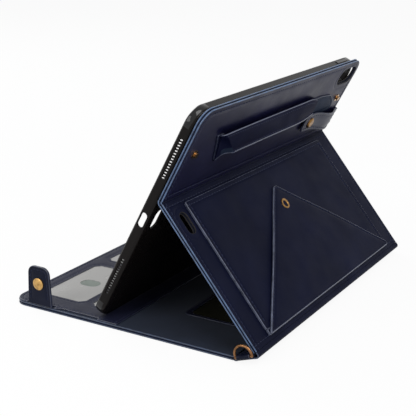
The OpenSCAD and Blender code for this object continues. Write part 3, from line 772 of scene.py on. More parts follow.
def lining_material(name, colour):
    """Microfibre: short uneven nap."""
    return new_material(
        name, colour,
        {"Roughness": 0.88, "Specular IOR Level": 0.06, "Sheen Weight": 0.08, "Sheen Roughness": 0.5},
        clouds=(34, 5), tones=((0.3, 0.8), (0.5, 1), (0.72, 1.25)),
        gloss=None, bumps=((900, 6, 0.5, 0.09), (50, 2, 0.25, 0.3)))


def metal_material(name, colour, rough):
    """Plated metal with fine scratches and a little tarnish."""
    return new_material(
        name, colour, {"Metallic": 1.0, "Specular IOR Level": 0.5},
        clouds=(350, 5), tones=((0.32, 0.62), (0.55, 1), (0.8, 1.12)),
        gloss=(0.3, 0.75, rough + 0.14, rough - 0.06), bumps=((1500, 4, 0.2, 0.02),))


def plastic_material(name, colour, rough, specular=0.5, mottle=0.15):
    """Moulded plastic: faint flow marks and a soft uneven gloss."""
    return new_material(
        name, colour, {"Specular IOR Level": specular},
        clouds=(40, 4), tones=((0.3, 1 - mottle), (0.7, 1 + mottle)),
        gloss=(0.3, 0.7, rough - 0.04, rough + 0.06), bumps=((800, 3, 0.15, 0.03),))


LEATHER = leather_material("navy_leather", (0.0040, 0.0052, 0.0170), 0.5, 0.045)
# The cover's glossier leather; its colour, lighter than the stand's leather that it runs on from, is painted sheen.
POLISHED_LEATHER_PAINTED_SHEEN = leather_material("polished_navy_leather_painted_sheen", (0.0072, 0.0074, 0.0290), 0.36, 0.13)
TAB_LEATHER = leather_material("tab_leather", (0.0042, 0.0054, 0.0140), 0.42, 0.12)
STRAP_LEATHER = leather_material("strap_leather", (0.0052, 0.0062, 0.0215), 0.5, 0.02, 0.45)
# A lighter copy of the strap's leather for its far patch and the fold at its root: painted highlight.
STRAP_LEATHER_PAINTED_HIGHLIGHT = leather_material("strap_leather_painted_highlight", (0.0150, 0.0225, 0.0430), 0.5, 0.03, 0.45)
KEEPER_LEATHER = leather_material("keeper_leather", (0.0075, 0.0080, 0.0260), 0.36, 0.32)
WALLET_LEATHER = leather_material("wallet_leather", (0.0085, 0.0095, 0.0220), 0.5, 0.13)
# Edge paints. This one is lighter than the navy it stands for, a painted highlight where glossy edges catch the light;
# the base and dark ones are darker tones.
EDGE_PAINT_WITH_HIGHLIGHT = paint_material("edge_paint", (0.062, 0.105, 0.195))
BASE_PAINT = paint_material("base_edge_paint", (0.024, 0.038, 0.075))
DARK_PAINT = paint_material("dark_edge_paint", (0.020, 0.024, 0.048))
# Paler still, for the pocket, flap, hem and strap edges: a painted highlight on edges that catch the light.
PALE_EDGE_PAINT_HIGHLIGHT = paint_material("pale_edge_paint_painted_highlight", (0.085, 0.095, 0.140))
RAW_EDGE = plastic_material("cut_leather_edge", (0.018, 0.016, 0.016), 0.7, 0.2, mottle=0.35)
LINING = lining_material("navy_lining", (0.0095, 0.0150, 0.0310))
# Dark board edge, coloured as the painted shade in the recess between the leather edges.
BOARD_EDGE_PAINTED_SHADE = plastic_material("board_edge_painted_shade", (0.006, 0.009, 0.025), 0.7, 0.1)
THREAD = lining_material("navy_thread", (0.022, 0.028, 0.060))
BRASS = metal_material("brass", (0.56, 0.34, 0.12), 0.30)
COPPER = metal_material("copper_gold", (0.24, 0.12, 0.055), 0.26)
AGED = metal_material("aged_brass", (0.30, 0.165, 0.055), 0.3)
WELL = metal_material("snap_well", (0.2, 0.115, 0.045), 0.4)
POLISHED_BRASS = metal_material("polished_brass", (0.42, 0.25, 0.11), 0.1)
STEEL = metal_material("magnet_steel", (0.55, 0.55, 0.57), 0.35)
SHELL = plastic_material("gloss_black", (0.0068, 0.0056, 0.0054), 0.2, 0.09)
SOFT_CORNER = plastic_material("soft_black", (0.006, 0.006, 0.0065), 0.08, 0.3)
FILM = plastic_material("window_film", (0.310, 0.305, 0.295), 0.24, 0.3, mottle=0.04)
TINTED = plastic_material("tinted_film", (0.014, 0.014, 0.008), 0.2, 0.15)
BACKING = lining_material("grey_backing", (0.20, 0.225, 0.205))
GLUE = plastic_material("glue_pad", (0.01, 0.01, 0.01), 0.8)

# ---------------------------------------------------------------- base
PANEL_R = 11
REAR_R = 1.5
WINDOW_CUT = 4
WINDOW_R = 0.8


def near_bend(x, s):
    """True at the base's rear edge, which runs on into the spine."""
    return s > BASE_LEN - 0.5


def make_base():
    outline = box_outline(-HALF_W, 0, HALF_W, BASE_LEN, PANEL_R, REAR_R)
    sheet("base_leather", BASE, [outline], 0, LEATHER_T, [LEATHER, BASE_PAINT],
          ("base", "outer_leather", "base_outer_leather"), bare=near_bend)
    sheet("base_lining_sheet", BASE, [outline, window_loop(*rear_window())], PANEL_T - LEATHER_T, PANEL_T,
          [LINING, BASE_PAINT], ("base", "lining", "base_lining"), bare=near_bend)


def window_loop(x1, s1, x2, s2):
    """Window with cut corners, run clockwise as holes are."""
    cut = WINDOW_CUT
    corners = [(x1 + cut, s1), (x2 - cut, s1), (x2, s1 + cut), (x2, s2 - cut),
               (x2 - cut, s2), (x1 + cut, s2), (x1, s2 - cut), (x1, s1 + cut)]
    return rounded(corners, WINDOW_R, 3)[::-1]


def rear_window():
    low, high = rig.box("rear_window_film")
    return *BASE.flat(low), *BASE.flat(high)


# ---------------------------------------------------------------- wallet
LAID = 0.02
WALLET_LEN = 96.0
WALLET_EDGE = 0.4
WALLET_R = 10.6
WALLET_TOP = PANEL_T + 1.0
WALLET_SEAM = 2.6
WINDOW_SEAM = 2.2
CARD_W = 70.0
WINDOW_GAP = 14.0
WINDOW_SIDE = 19.5
NOTE_W = 2 * HALF_W - 2 * WINDOW_SIDE - WINDOW_GAP - CARD_W
ROW_S = (12.2, 58.5)
ROW_H = (39.0, 14.0)
MOUTH = (41.5, 78.5)
MOUTH_NOTCH = 2.2
MOUTH_SLANT = 4.0
NOTCH_R = 0.4
TAB_S = 26.6
TAB_NOTCH = (3.6, 12.5)
RIM_W = 3
RIM_T = 0.6


def wallet_outline():
    """Outline with a notch at each side for the closure tabs and one at the pocket's mouth."""
    side = HALF_W - WALLET_EDGE
    depth, reach = HALF_W - TAB_NOTCH[0], TAB_NOTCH[1]
    notch = [(side, TAB_S - reach, NOTCH_R), (depth, TAB_S - reach, NOTCH_R),
             (depth, TAB_S + reach, NOTCH_R), (side, TAB_S + reach, NOTCH_R)]
    mouth = [(side, MOUTH[0], NOTCH_R), (side - MOUTH_NOTCH, MOUTH[0] + MOUTH_SLANT, 0.6),
             (side - MOUTH_NOTCH, MOUTH[1], NOTCH_R), (side, MOUTH[1], NOTCH_R)]
    near = [(side, WALLET_EDGE, WALLET_R), *notch, *mouth, (side, WALLET_LEN, 1.0)]
    far = [(-side, WALLET_LEN, 1.0), *((-x, s, r) for x, s, r in reversed(notch)),
           (-side, WALLET_EDGE, WALLET_R)]
    return rounded(near + far)


def wallet_windows():
    columns = ((HALF_W - WINDOW_SIDE - CARD_W, CARD_W), (WINDOW_SIDE - HALF_W, NOTE_W))
    return [window_loop(x, s, x + w, s + h) for s, h in zip(ROW_S, ROW_H) for x, w in columns]


def make_wallet():
    outline, windows = wallet_outline(), wallet_windows()
    sheet("wallet_sheet", BASE, [outline, *windows], PANEL_T + LAID, WALLET_TOP,
          [WALLET_LEATHER, DARK_PAINT], ("base", "wallet_leather", "wallet_panel"),
          relief=sewn(WALLET_SEAM, 0.12, 0.15), grid=6, rows=rows_for(WALLET_SEAM))
    paths = [seam_path(outline, WALLET_SEAM, 2)] + [seam_path(loop, WINDOW_SEAM, 2) for loop in windows]
    sew("wallet_stitches", BASE, paths, lambda x, s: WALLET_TOP - 0.1, "base", "wallet_leather")
    x1, s1, x2, s2 = rear_window()
    surround = box_outline(x1 - RIM_W, s1 - RIM_W, x2 + RIM_W, s2 + RIM_W, 4, 4)
    sheet("rear_window_border", BASE, [surround, window_loop(x1, s1, x2, s2)], PANEL_T + LAID,
          PANEL_T + RIM_T, [WALLET_LEATHER, DARK_PAINT], ("base", "wallet_leather", "rear_window_frame"),
          grid=5, edge=0.2)


# ---------------------------------------------------------------- closure tabs
TAB_W = 22.0
TAB_TOP_W = 19.0
TAB_H = 30.0
TAB_R = 6
TAB_FOOT = -0.6
TAB_FLAT = 4.0
TAB_THIN = 0.08
TAB_SEAM = 2.6


def make_tab(name, base, body, node):
    outline = rounded([(-TAB_W / 2, TAB_FOOT, 0.5), (TAB_W / 2, TAB_FOOT, 0.5),
                       (TAB_TOP_W / 2, TAB_H, TAB_R), (-TAB_TOP_W / 2, TAB_H, TAB_R)])
    if base.across.cross(base.along).dot(base.out) < 0:
        outline = [(-x, s) for x, s in reversed(outline)]
    padding = sewn(TAB_SEAM, 0.15)

    def flat_at_foot(x, s, d):
        return -TAB_THIN + (padding(x, s, d) + TAB_THIN) * smooth((s - TAB_FLAT) / 2)

    sheet(name, base, [outline], -1, 1, [TAB_LEATHER, DARK_PAINT], (body, "tab_leather", node),
          relief=flat_at_foot, grid=2.5, rows=rows_for(TAB_SEAM), edge=0.5, step=1.5)
    sew(name + "_stitches", base, [seam_path(outline, TAB_SEAM, 1)], lambda x, s: 0.92,
        body, "tab_leather", kept=lambda s: s > TAB_FLAT + 1)


# ---------------------------------------------------------------- spine and fold
RING_LOOP_W = 10.2
RING_LOOP_T = 0.9
RING_LOOP_R = 1.9
RING_LOOP_RUN = 12.8
RING_LOOP_SEAM = 1.3
RING_STITCH_R = 0.18
LINING_H = PANEL_T - SPINE_DEPTH
SPINE_START = 1.0
CORE_INSET = 0.3


def make_spine():
    loop = box_outline(-HALF_W, SPINE_START, HALF_W, SPINE_LEN - BEND_FLAT, 0.4, 0.4)
    sheet("spine_leather", SPINE, [loop], -LEATHER_T, 0, [LEATHER, BASE_PAINT],
          ("spine", "outer_leather", "spine_outer_leather"), bare=lambda x, s: abs(x) < HALF_W - 0.5)
    upper = hinge_bend(STAND_AXIS, SPINE_TILT - math.pi / 2, math.pi / 2 - STAND_TILT, BEND_FLAT)
    make_hinge("spine_bend", upper, "spine_hinge_leather", "spine", "stand")
    lower = hinge_bend(BASE_AXIS, -math.pi / 2, SPINE_TILT - math.pi / 2, SPINE_START)
    make_hinge("base_bend", lower, "base_hinge_leather", "base", "spine")


def make_hinge(name, bend, node, first, second):
    strip = bent_strip(name, bend, -LEATHER_T, 0, [LEATHER, BASE_PAINT])
    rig.slot(strip, "outer_leather")
    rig.replaces(strip, node)
    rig.blend(strip, first, second, start=bend.at(0, bend.flat), end=bend.at(0, bend.length - bend.flat))


def make_fold():
    """Outer leather, a dark core coloured as painted shade between their edges, and lining where the cover turns up
    from the stand.
    """
    middle = (stand_out + cover_out) * (FOLD_R + FOLD_DEPTH) / (1 + math.cos(FOLD_TURN))
    bend = Bend(FOLD_AXIS + middle * MM, -stand_out, -STAND.along, FOLD_R, FOLD_TURN, 0, inward=True)
    layers = (("fold_leather", "outer_leather", -LEATHER_T, 0, [LEATHER, EDGE_PAINT_WITH_HIGHLIGHT], 0),
              # The core strip is dark where the fold has only shade between its edges: painted shade.
              ("fold_core", "outer_leather", LEATHER_T - PANEL_T, -LEATHER_T, [BOARD_EDGE_PAINTED_SHADE, BOARD_EDGE_PAINTED_SHADE], CORE_INSET),
              ("fold_lining", "lining", -PANEL_T, LEATHER_T - PANEL_T, [LINING, EDGE_PAINT_WITH_HIGHLIGHT], 0))
    for name, slot, *shape in layers:
        strip = bent_strip(name, bend, *shape)
        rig.slot(strip, slot)
        if name == "fold_leather":
            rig.replaces(strip, "fold_hinge_leather")
        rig.blend(strip, "stand", "upper", start=STAND.at(0, FOLD_START), end=COVER.at(0, FOLD_START))


def make_ring_loop(name, joint, node, side):
    """Leather tab laid on the spine's lining, round the ring's bar and back under it."""
    bar = joint_at(joint)
    bar_h = -(bar - BASE_AXIS).dot(spine_out) / MM
    bend = Bend(bar, -spine_out, (side, 0, 0), RING_LOOP_R, math.pi, RING_LOOP_RUN, across=UP_SPINE)
    dip = bar_h + RING_LOOP_R - RING_LOOP_T - LINING_H

    def lie_down(x, s):
        return -dip * float(smooth(1 - s / (RING_LOOP_RUN - 1)))

    half, seam = RING_LOOP_W / 2, RING_LOOP_SEAM
    outline = box_outline(-half, 0, half, bend.length, 1.5, 0.3)
    sheet(name, bend, [outline], -RING_LOOP_T, 0, [TAB_LEATHER, DARK_PAINT], ("spine", "tab_leather", node),
          lift=lie_down, grid=1.4, rows=(0.5,), edge=0.25, step=0.7)
    path = resample(box_outline(seam - half, seam, half - seam, RING_LOOP_RUN - 2.5, 0.5, 0.5), 0.7)
    sew(name + "_stitches", bend, [path], lambda x, s: lie_down(x, s) - 0.04, "spine", "tab_leather",
        out=-spine_out, radius=RING_STITCH_R)


# ---------------------------------------------------------------- stand and upper cover
SLOT = (HALF_W - 12.8, 19.8, 16.5, 8.0)
CAMERA_SLOT = (18 - HALF_W, COVER_TOP - 13.35, 30.0, 15.0)


def at_fold(x, s):
    return s < FOLD_START + 0.1


def stand_ends(x, s):
    return at_fold(x, s) or s > STAND_FOOT - 0.1


def make_panel(name, body, base, outline, cut, look, bare):
    """Outer leather, lining and seam of one half of the back."""
    skin_node, lining_node = body + "_outer_leather", body + "_lining"
    seam = seam_inset(name + "_seam", base, outline, skin_node)
    sheet(name + "_leather", base, [outline, cut], -LEATHER_T, 0, [look, EDGE_PAINT_WITH_HIGHLIGHT, RAW_EDGE],
          (body, "outer_leather", skin_node), relief=sewn(seam, 0.1), grid=6, rows=rows_for(seam), bare=bare)
    sheet(name + "_lining_sheet", base, [outline, cut], -PANEL_T, LEATHER_T - PANEL_T,
          [LINING, EDGE_PAINT_WITH_HIGHLIGHT, RAW_EDGE], (body, "lining", lining_node), bare=bare)
    sew(name + "_stitches", base, [seam_path(outline, seam)], lambda x, s: -THREAD_SINK,
        body, "outer_leather")


def make_stand():
    outline = box_outline(-HALF_W, FOLD_START, HALF_W, STAND_FOOT, 0.5, 0.5)
    make_panel("stand", "stand", STAND, outline, slot_outline(*SLOT, upright=True), LEATHER, stand_ends)


def make_cover():
    outline = box_outline(-HALF_W, FOLD_START, HALF_W, COVER_TOP, 0.5, PANEL_R)
    make_panel("cover", "upper", COVER, outline, slot_outline(*CAMERA_SLOT), POLISHED_LEATHER_PAINTED_SHEEN, at_fold)


# ---------------------------------------------------------------- pocket and flap
POCKET = (HALF_W - 20.5, 6.5, 108.0)
POCKET_T = 1.8
FLAP_TIP_S = 25.0
FLAP_TIP_RUN = 4.0
FLAP_FOOT_S = 112.0
FLAP_BASE = 2.0
FLAP_T = 1.6
FLAP_SNAP_S = 40.5
FLAP_BOW = 1.3
FLAP_BOW_W = 110
FLAP_SEWN_TO = FLAP_FOOT_S - 6
SNAP_SIDES = 40
# Radius and height above the flap; None is the flap's underside.
SNAP_PROFILE = ((3.9, None), (3.9, -0.1), (4.3, -0.1), (4.3, 0.4), (4.1, 0.8), (3.6, 1.0), (3.0, 0.9),
                (2.6, 0.6), (2.4, 0.2))
SNAP_WELL = 7


def make_pocket():
    side, top, mouth = POCKET
    outline = box_outline(-side, top, side, mouth, 1.5, 1)
    seam = seam_inset("pocket_seam", STAND, outline, "document_pocket")
    sheet("pocket_front", STAND, [outline], LAID, POCKET_T, [LEATHER, PALE_EDGE_PAINT_HIGHLIGHT],
          ("stand", "outer_leather", "document_pocket"),
          relief=sewn(seam, 0.15), grid=6, rows=rows_for(seam))
    sew("pocket_stitches", STAND, [seam_path(outline, seam)], lambda x, s: POCKET_T - THREAD_SINK,
        "stand", "outer_leather", kept=lambda s: s < mouth - seam - 1)


def flap_lift(x, s):
    """The flap stands a little off the pocket between its snap and its foot."""
    along = np.clip((s - FLAP_SNAP_S) / (FLAP_FOOT_S - FLAP_SNAP_S), 0, 1)
    return FLAP_BOW * np.sin(math.pi * along) * np.cos(np.clip(x / FLAP_BOW_W, -1, 1) * math.pi / 2)


def make_hem():
    """Hem under the flap's root, along the pocket's mouth."""
    side, _, mouth = POCKET
    outline = box_outline(0.5 - side, mouth + 0.2, side - 0.5, FLAP_FOOT_S + 0.4, 0.4, 0.4)
    sheet("flap_hem", STAND, [outline], LAID, FLAP_BASE - 0.05, [LEATHER, PALE_EDGE_PAINT_HIGHLIGHT],
          ("stand", "outer_leather", "flap_anchor"), grid=3, edge=0.3)


def make_flap():
    side, top = POCKET[0] - 0.5, FLAP_BASE + FLAP_T
    outline = rounded([(-side, FLAP_FOOT_S, 2), (-side, FLAP_FOOT_S - 3, 2.5), (-FLAP_TIP_RUN, FLAP_TIP_S, 2),
                       (0, FLAP_TIP_S, 2), (side, FLAP_FOOT_S - 1, 1.5), (side, FLAP_FOOT_S, 0.5)])
    seam = seam_inset("flap_seam", STAND, outline, "envelope_flap")
    sheet("flap_sheet", STAND, [outline], FLAP_BASE, top, [LEATHER, PALE_EDGE_PAINT_HIGHLIGHT],
          ("flap", "outer_leather", "envelope_flap"),
          relief=sewn(seam, 0.2), lift=flap_lift, grid=5, rows=rows_for(seam), edge=0.6)
    sew("flap_stitches", STAND, [seam_path(outline, seam)],
        lambda x, s: top - THREAD_SINK + float(flap_lift(x, s)),
        "flap", "outer_leather", kept=lambda s: s < FLAP_SEWN_TO)
    dress(make_flap_snap(top + float(flap_lift(0, FLAP_SNAP_S))), "flap", "brass", "flap_snap")


def make_flap_snap(foot):
    """Round snap with a rolled rim round a dark well, turned about its axis."""
    turns = [math.tau * k / SNAP_SIDES for k in range(SNAP_SIDES)]
    rings = [[STAND.at(radius * math.cos(turn), FLAP_SNAP_S + radius * math.sin(turn),
                       FLAP_BASE if height is None else foot + height) for turn in turns]
             for radius, height in SNAP_PROFILE]
    bm = bmesh.new()
    add_rings(bm, rings, lambda number, k: int(number >= SNAP_WELL))
    return finish_mesh("flap_snap_cap", bm, [AGED, WELL])


# ---------------------------------------------------------------- hand strap
# Rows across the strap, from its root to its far end: an upper and a lower point (x, s, height).
STRAP_ROWS = (
    ((88.5, 46.5, 0.4), (78.5, 23.0, 0.4)),
    ((91.0, 49.0, 2.2), (73.8, 29.2, 2.2)),
    ((90.0, 50.6, 4.2), (66.5, 30.6, 4.9)),
    ((86.0, 51.2, 4.6), (63.0, 31.2, 5.1)),
    ((60.0, 51.3, 4.2), (45.0, 31.2, 5.0)),
    ((10.0, 51.4, 3.8), (8.0, 31.8, 5.0)),
    ((-30.0, 51.3, 3.5), (-28.0, 32.0, 4.8)),
    ((-48.0, 50.4, 2.8), (-45.0, 32.4, 4.2)),
    ((-62.0, 46.5, 1.9), (-62.0, 34.0, 2.4)),
)
STRAP_T = 2.2
STRAP_CROWN = 0.5
STRAP_SQUARE = 14
STRAP_HOLLOW = 2.4
STRAP_HOLLOW_END = 0.72
STRAP_FLARE = 1.1
STRAP_FLARE_FROM = 0.84
STRAP_FLARE_RUN = 0.12
# Outside these shares of its width the strap takes the pale edge paint, a painted highlight along its lower edge.
STRAP_EDGE_PAINT_AND_HIGHLIGHT = (0.012, 0.9)
# From this share of the width, on the rows that rise from the root, the strap takes the lighter strap leather as a
# painted highlight on the fold.
STRAP_FOLD = 0.7
STRAP_FOLD_ROW = 3
STRAP_PER_SPAN = 6
STRAP_ROOT = 14
STRAP_ACROSS = 26
STRAP_SEAM = 2.6
PATCH_T = 1.2
PATCH_SEAM = 2.4


def curve_through(rows, per_span):
    """Smooth rows through the given ones, as arrays of numbers."""
    rows = np.asarray(rows, dtype=float)
    padded = np.concatenate((2 * rows[:1] - rows[1:2], rows, 2 * rows[-1:] - rows[-2:-1]))
    out = []
    for i in range(1, len(padded) - 2):
        p0, p1, p2, p3 = padded[i - 1:i + 3]
        for t in np.arange(per_span) / per_span:
            out.append(0.5 * (2 * p1 + (p2 - p0) * t + (2 * p0 - 5 * p1 + 4 * p2 - p3) * t ** 2
                              + (3 * p1 - p0 - 3 * p2 + p3) * t ** 3))
    out.append(padded[-2])
    return out


def strap_point(rows, number, u, face=1):
    """Point on the strap's outer or inner face; u runs from its upper edge to its lower one.

    The rows that rise from its root are pressed in at their upper part, and its lower edge flares.
    """
    upper, lower = rows[number]
    rise = min(number / STRAP_ROOT, 1)
    height = face * STRAP_T / 2 * math.sqrt(max(1 - abs(2 * u - 1) ** STRAP_SQUARE, 0))
    if face > 0:
        height += STRAP_CROWN * math.sin(math.pi * u)
    hollow = math.sin(math.pi * min(u / STRAP_HOLLOW_END, 1)) ** 2
    height -= STRAP_HOLLOW * math.sin(math.pi * rise) * hollow
    height += STRAP_FLARE * rise * float(smooth((u - STRAP_FLARE_FROM) / STRAP_FLARE_RUN))
    return COVER.at(*upper).lerp(COVER.at(*lower), u) + COVER.out * height * MM


def strap_share(k):
    """Share of the strap's width at a point of a row, closer together at the edges."""
    return 0.5 - 0.5 * math.cos(math.pi * k / STRAP_ACROSS)


def strap_look(number, k):
    """0 for the leather, 1 for edge paint with a painted highlight along its lower edge, and 2 for a painted highlight
    on the fold at the root.
    """
    u = strap_share(k + 0.5)
    if k >= STRAP_ACROSS:
        return 0
    if not STRAP_EDGE_PAINT_AND_HIGHLIGHT[0] <= u <= STRAP_EDGE_PAINT_AND_HIGHLIGHT[1]:
        return 1
    return 2 if u > STRAP_FOLD and STRAP_FOLD_ROW < number < STRAP_ROOT + 1 else 0


def strap_spots(rows):
    """Stitch places along both long edges of the strap, from its root to its far end."""
    spots = []
    for from_edge in (STRAP_SEAM, -STRAP_SEAM):
        path = []
        for number in range(STRAP_ROOT + 2, len(rows) - 2):
            upper, lower = (Vector(end[:2]) for end in rows[number])
            path.append(strap_point(rows, number, from_edge / (lower - upper).length % 1))
        walked = 0
        for a, b in zip(path, path[1:]):
            step = (b - a).length / MM
            while walked < step:
                spot = a.lerp(b, walked / step) - COVER.out * THREAD_SINK * MM
                spots.append((spot, (b - a).normalized(), COVER.out))
                walked += STITCH_PITCH
            walked -= step
    return spots


def make_strap():
    rows = [(row[0], row[1]) for row in curve_through(STRAP_ROWS, STRAP_PER_SPAN)]
    around = [(strap_share(k), 1) for k in range(STRAP_ACROSS + 1)]
    around += [(strap_share(k), -1) for k in range(STRAP_ACROSS - 1, 0, -1)]
    bm = bmesh.new()
    add_rings(bm, [[strap_point(rows, number, u, face) for u, face in around]
                   for number in range(len(rows))], strap_look)
    strap = finish_mesh("hand_strap_band", bm, [STRAP_LEATHER, PALE_EDGE_PAINT_HIGHLIGHT, STRAP_LEATHER_PAINTED_HIGHLIGHT], sharp=70)
    dress(strap, "upper", "strap_leather", "hand_strap")
    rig.padded(strap, fill=0.5)
    dress(stitches("hand_strap_stitches", strap_spots(rows)), "upper", "strap_leather")


def make_strap_anchors():
    patch = rounded([(-58, 27.2, 0.5), (-58, 46.8, 0.5), (-74, 46.8, 14), (-93, 44.5, 14), (-106.5, 35, 8),
                     (-106.5, 27.2, 5)])
    # The far patch takes the lighter strap leather, a painted highlight.
    sheet("strap_patch", COVER, [patch], LAID, PATCH_T, [STRAP_LEATHER_PAINTED_HIGHLIGHT, DARK_PAINT],
          ("upper", "strap_leather", "strap_far_anchor"),
          relief=sewn(PATCH_SEAM, 0.1), grid=3, rows=rows_for(PATCH_SEAM), step=1.5)
    foot = rounded([(72, 24.5), (80, 24.5), (92.5, 48), (84.5, 48)], 0.6)
    sheet("strap_root_patch", COVER, [foot], LAID, PATCH_T, [STRAP_LEATHER, DARK_PAINT],
          ("upper", "strap_leather", "strap_near_anchor"), grid=3, step=1.5)


# ---------------------------------------------------------------- keeper tab
KEEPER_S = 23.0
KEEPER_W = 16.5
KEEPER_TIP = 65.5 - HALF_W
KEEPER_LOW = 1.4
KEEPER_HIGH = 3.2
KEEPER_EDGE = 1.6 - HALF_W
KEEPER_TURN_R = 1.0
KEEPER_ROOT = 3.2
KEEPER_REACH = 52
KEEPER_SLANT = 6.0
KEEPER_BOW = 3.6
KEEPER_SINK = 0.9
KEEPER_LEAN = 0.85
KEEPER_RISEN = 0.3
KEEPER_BLEND = (-1, 7)
KEEPER_SEAM = 2.4


class RoundTheEdge:
    """The cover's plane, turning down round the cover's far edge and slanting towards it."""

    out = COVER.out

    def at(self, x, s, h=0.0):
        past = max(KEEPER_EDGE - x, 0)
        angle = min(past / KEEPER_TURN_R, math.pi / 2)
        down = past - KEEPER_TURN_R * angle
        radius = KEEPER_TURN_R + h - KEEPER_LOW
        s -= KEEPER_SLANT * float(smooth((KEEPER_EDGE + KEEPER_REACH - x) / KEEPER_REACH))
        return COVER.at(max(x, KEEPER_EDGE) - radius * math.sin(angle), s,
                        KEEPER_LOW - KEEPER_TURN_R + radius * math.cos(angle) - down)


def keeper_lift(x, s):
    """The tab leaves the far edge close to the cover, bows off it and comes down at its snap."""
    t = min(max((x - KEEPER_EDGE) / KEEPER_REACH, 0), 1)
    sink = KEEPER_SINK * (1 - float(smooth(t / KEEPER_RISEN)))
    return KEEPER_BOW * math.sin(math.pi * t ** KEEPER_LEAN) ** 2 - sink


def make_keeper():
    low, high = KEEPER_S - KEEPER_W / 2, KEEPER_S + KEEPER_W / 2
    root = KEEPER_EDGE - KEEPER_ROOT
    outline = rounded([(root, low, 0.6), (KEEPER_TIP, low, 5), (KEEPER_TIP, high, 5), (root, high, 0.6)])
    base = RoundTheEdge()
    tab = sheet("keeper_sheet", base, [outline], KEEPER_LOW, KEEPER_HIGH, [KEEPER_LEATHER, DARK_PAINT],
                relief=sewn(KEEPER_SEAM, 0.12), lift=keeper_lift, grid=2.0, rows=rows_for(KEEPER_SEAM),
                edge=0.5, step=1.0)
    spots = seam_spots(base, seam_path(outline, KEEPER_SEAM, 1),
                       lambda x, s: KEEPER_HIGH - THREAD_SINK + keeper_lift(x, s))
    thread = stitches("keeper_stitches", spots)
    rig.replaces(tab, "keeper_tab")
    start, end = (COVER.at(KEEPER_EDGE + x, KEEPER_S) for x in KEEPER_BLEND)
    for piece in (tab, thread):
        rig.slot(piece, "tab_leather")
        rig.blend(piece, "upper", "keeper", start=start, end=end)


# ---------------------------------------------------------------- shell corners
BUMPER_R = 13.0
BUMPER_RUN = 1.5
BUMPER_PROUD = 0.3
BUMPER_TURNS = 16
BUMPER_SWELL = 0.35
# Sections through a bumper, flush with the tray and at its fullest: distance out from the tray's
# side and height above its foot, then the same measured from its rim.
BUMPER_FEET = (((-1.5, 0), (-1.5, 0)), ((0, 0), (0, 0)), ((0, 0.4), (0.28, 0.4)))
BUMPER_RIMS = (((0, -1), (0.28, -1.3)), ((-0.27, -0.67), (0.16, -0.7)), ((-0.53, -0.33), (-0.16, -0.2)),
               ((-0.8, 0), (-0.7, 0.1)), ((-2.3, 0), (-2.3, 0)), ((-2.3, -0.7), (-2.3, -0.7)),
               ((-1.5, -0.7), (-1.5, -0.7)))


def bumper_rings(side, end, foot, rim):
    """Rings of points round one corner; each bumper runs out flush with the tray at its two ends."""
    turns = [math.pi / 2 * k / BUMPER_TURNS for k in range(BUMPER_TURNS + 1)]
    stations = [(0, -BUMPER_RUN), *((turn, 0) for turn in turns), (math.pi / 2, BUMPER_RUN)]
    points = [(foot, *pair) for pair in BUMPER_FEET] + [(rim, *pair) for pair in BUMPER_RIMS]
    rings = []
    for number, (turn, run) in enumerate(stations):
        share = number / (len(stations) - 1)
        bulge = float(smooth(min(share, 1 - share) / BUMPER_SWELL))
        ring = []
        for start, flush, full in points:
            out = BUMPER_R + flush[0] + (full[0] - flush[0]) * bulge
            depth = start + flush[1] + (full[1] - flush[1]) * bulge
            x = abs(side) - BUMPER_R + out * math.cos(turn) - run * math.sin(turn)
            s = out * math.sin(turn) + run * math.cos(turn) - BUMPER_R
            ring.append(COVER.at(math.copysign(x, side), end[0] + end[1] * s, -depth))
        rings.append(ring)
    return rings


def make_bumpers():
    node = nodes["corner_bumpers"]
    spots = [node.matrix_world @ vertex.co for vertex in node.data.vertices]
    across, along = zip(*(COVER.flat(spot) for spot in spots))
    depths = [(COVER.origin - spot).dot(COVER.out) / MM for spot in spots]
    side = max(across) - BUMPER_PROUD
    bm = bmesh.new()
    for end in ((min(along), -1), (max(along) - BUMPER_PROUD, 1)):
        for sign in (-1, 1):
            add_rings(bm, bumper_rings(sign * side, end, min(depths), max(depths) - BUMPER_PROUD))
    dress(finish_mesh("corner_bumper_skins", bm, [SOFT_CORNER]), "upper", "soft_corner", "corner_bumpers")


# ---------------------------------------------------------------- nodes that stay
def paint_nodes():
    """Better materials on the CAD nodes that stay."""
    by_slot = {
        "outer_leather": LEATHER, "wallet_leather": WALLET_LEATHER, "tab_leather": POLISHED_LEATHER_PAINTED_SHEEN,
        "strap_leather": STRAP_LEATHER, "lining": LINING, "stiffener": BOARD_EDGE_PAINTED_SHADE, "magnet_steel": STEEL,
        "wallet_backing": BACKING, "window_film": FILM, "tinted_film": TINTED, "brass": BRASS,
        "ring_metal": COPPER, "adhesive": GLUE, "shell_plastic": SHELL, "soft_corner": SOFT_CORNER,
    }
    own = {"closure_studs": POLISHED_BRASS, "keeper_snap": AGED, "keeper_stud": AGED}
    for entry in frame["record"]["subparts"]:
        look = own.get(entry["node"], by_slot[entry["material_slot"]])
        for slot in nodes[entry["node"]].material_slots:
            slot.material = look


# ---------------------------------------------------------------- stage and light
FLOOR_HALF = 6
FLOOR_GLOW = 0.92
SKY = (0.95, 0.97, 1.0, 1)
SKY_STRENGTH = 0.45
# Name, place, target, size and power of each lamp.
LAMPS = (
    ("key", (0.5, 0.9, 1.3), (0, 0.03, 0.06), (0.9, 0.9), 14),
    ("rim", (-0.5, -1.3, 1.1), (0, 0, 0.08), (0.9, 0.7), 9),
    ("side", (1.3, -0.5, 0.7), (0, 0, 0.06), (0.8, 0.8), 7),
)


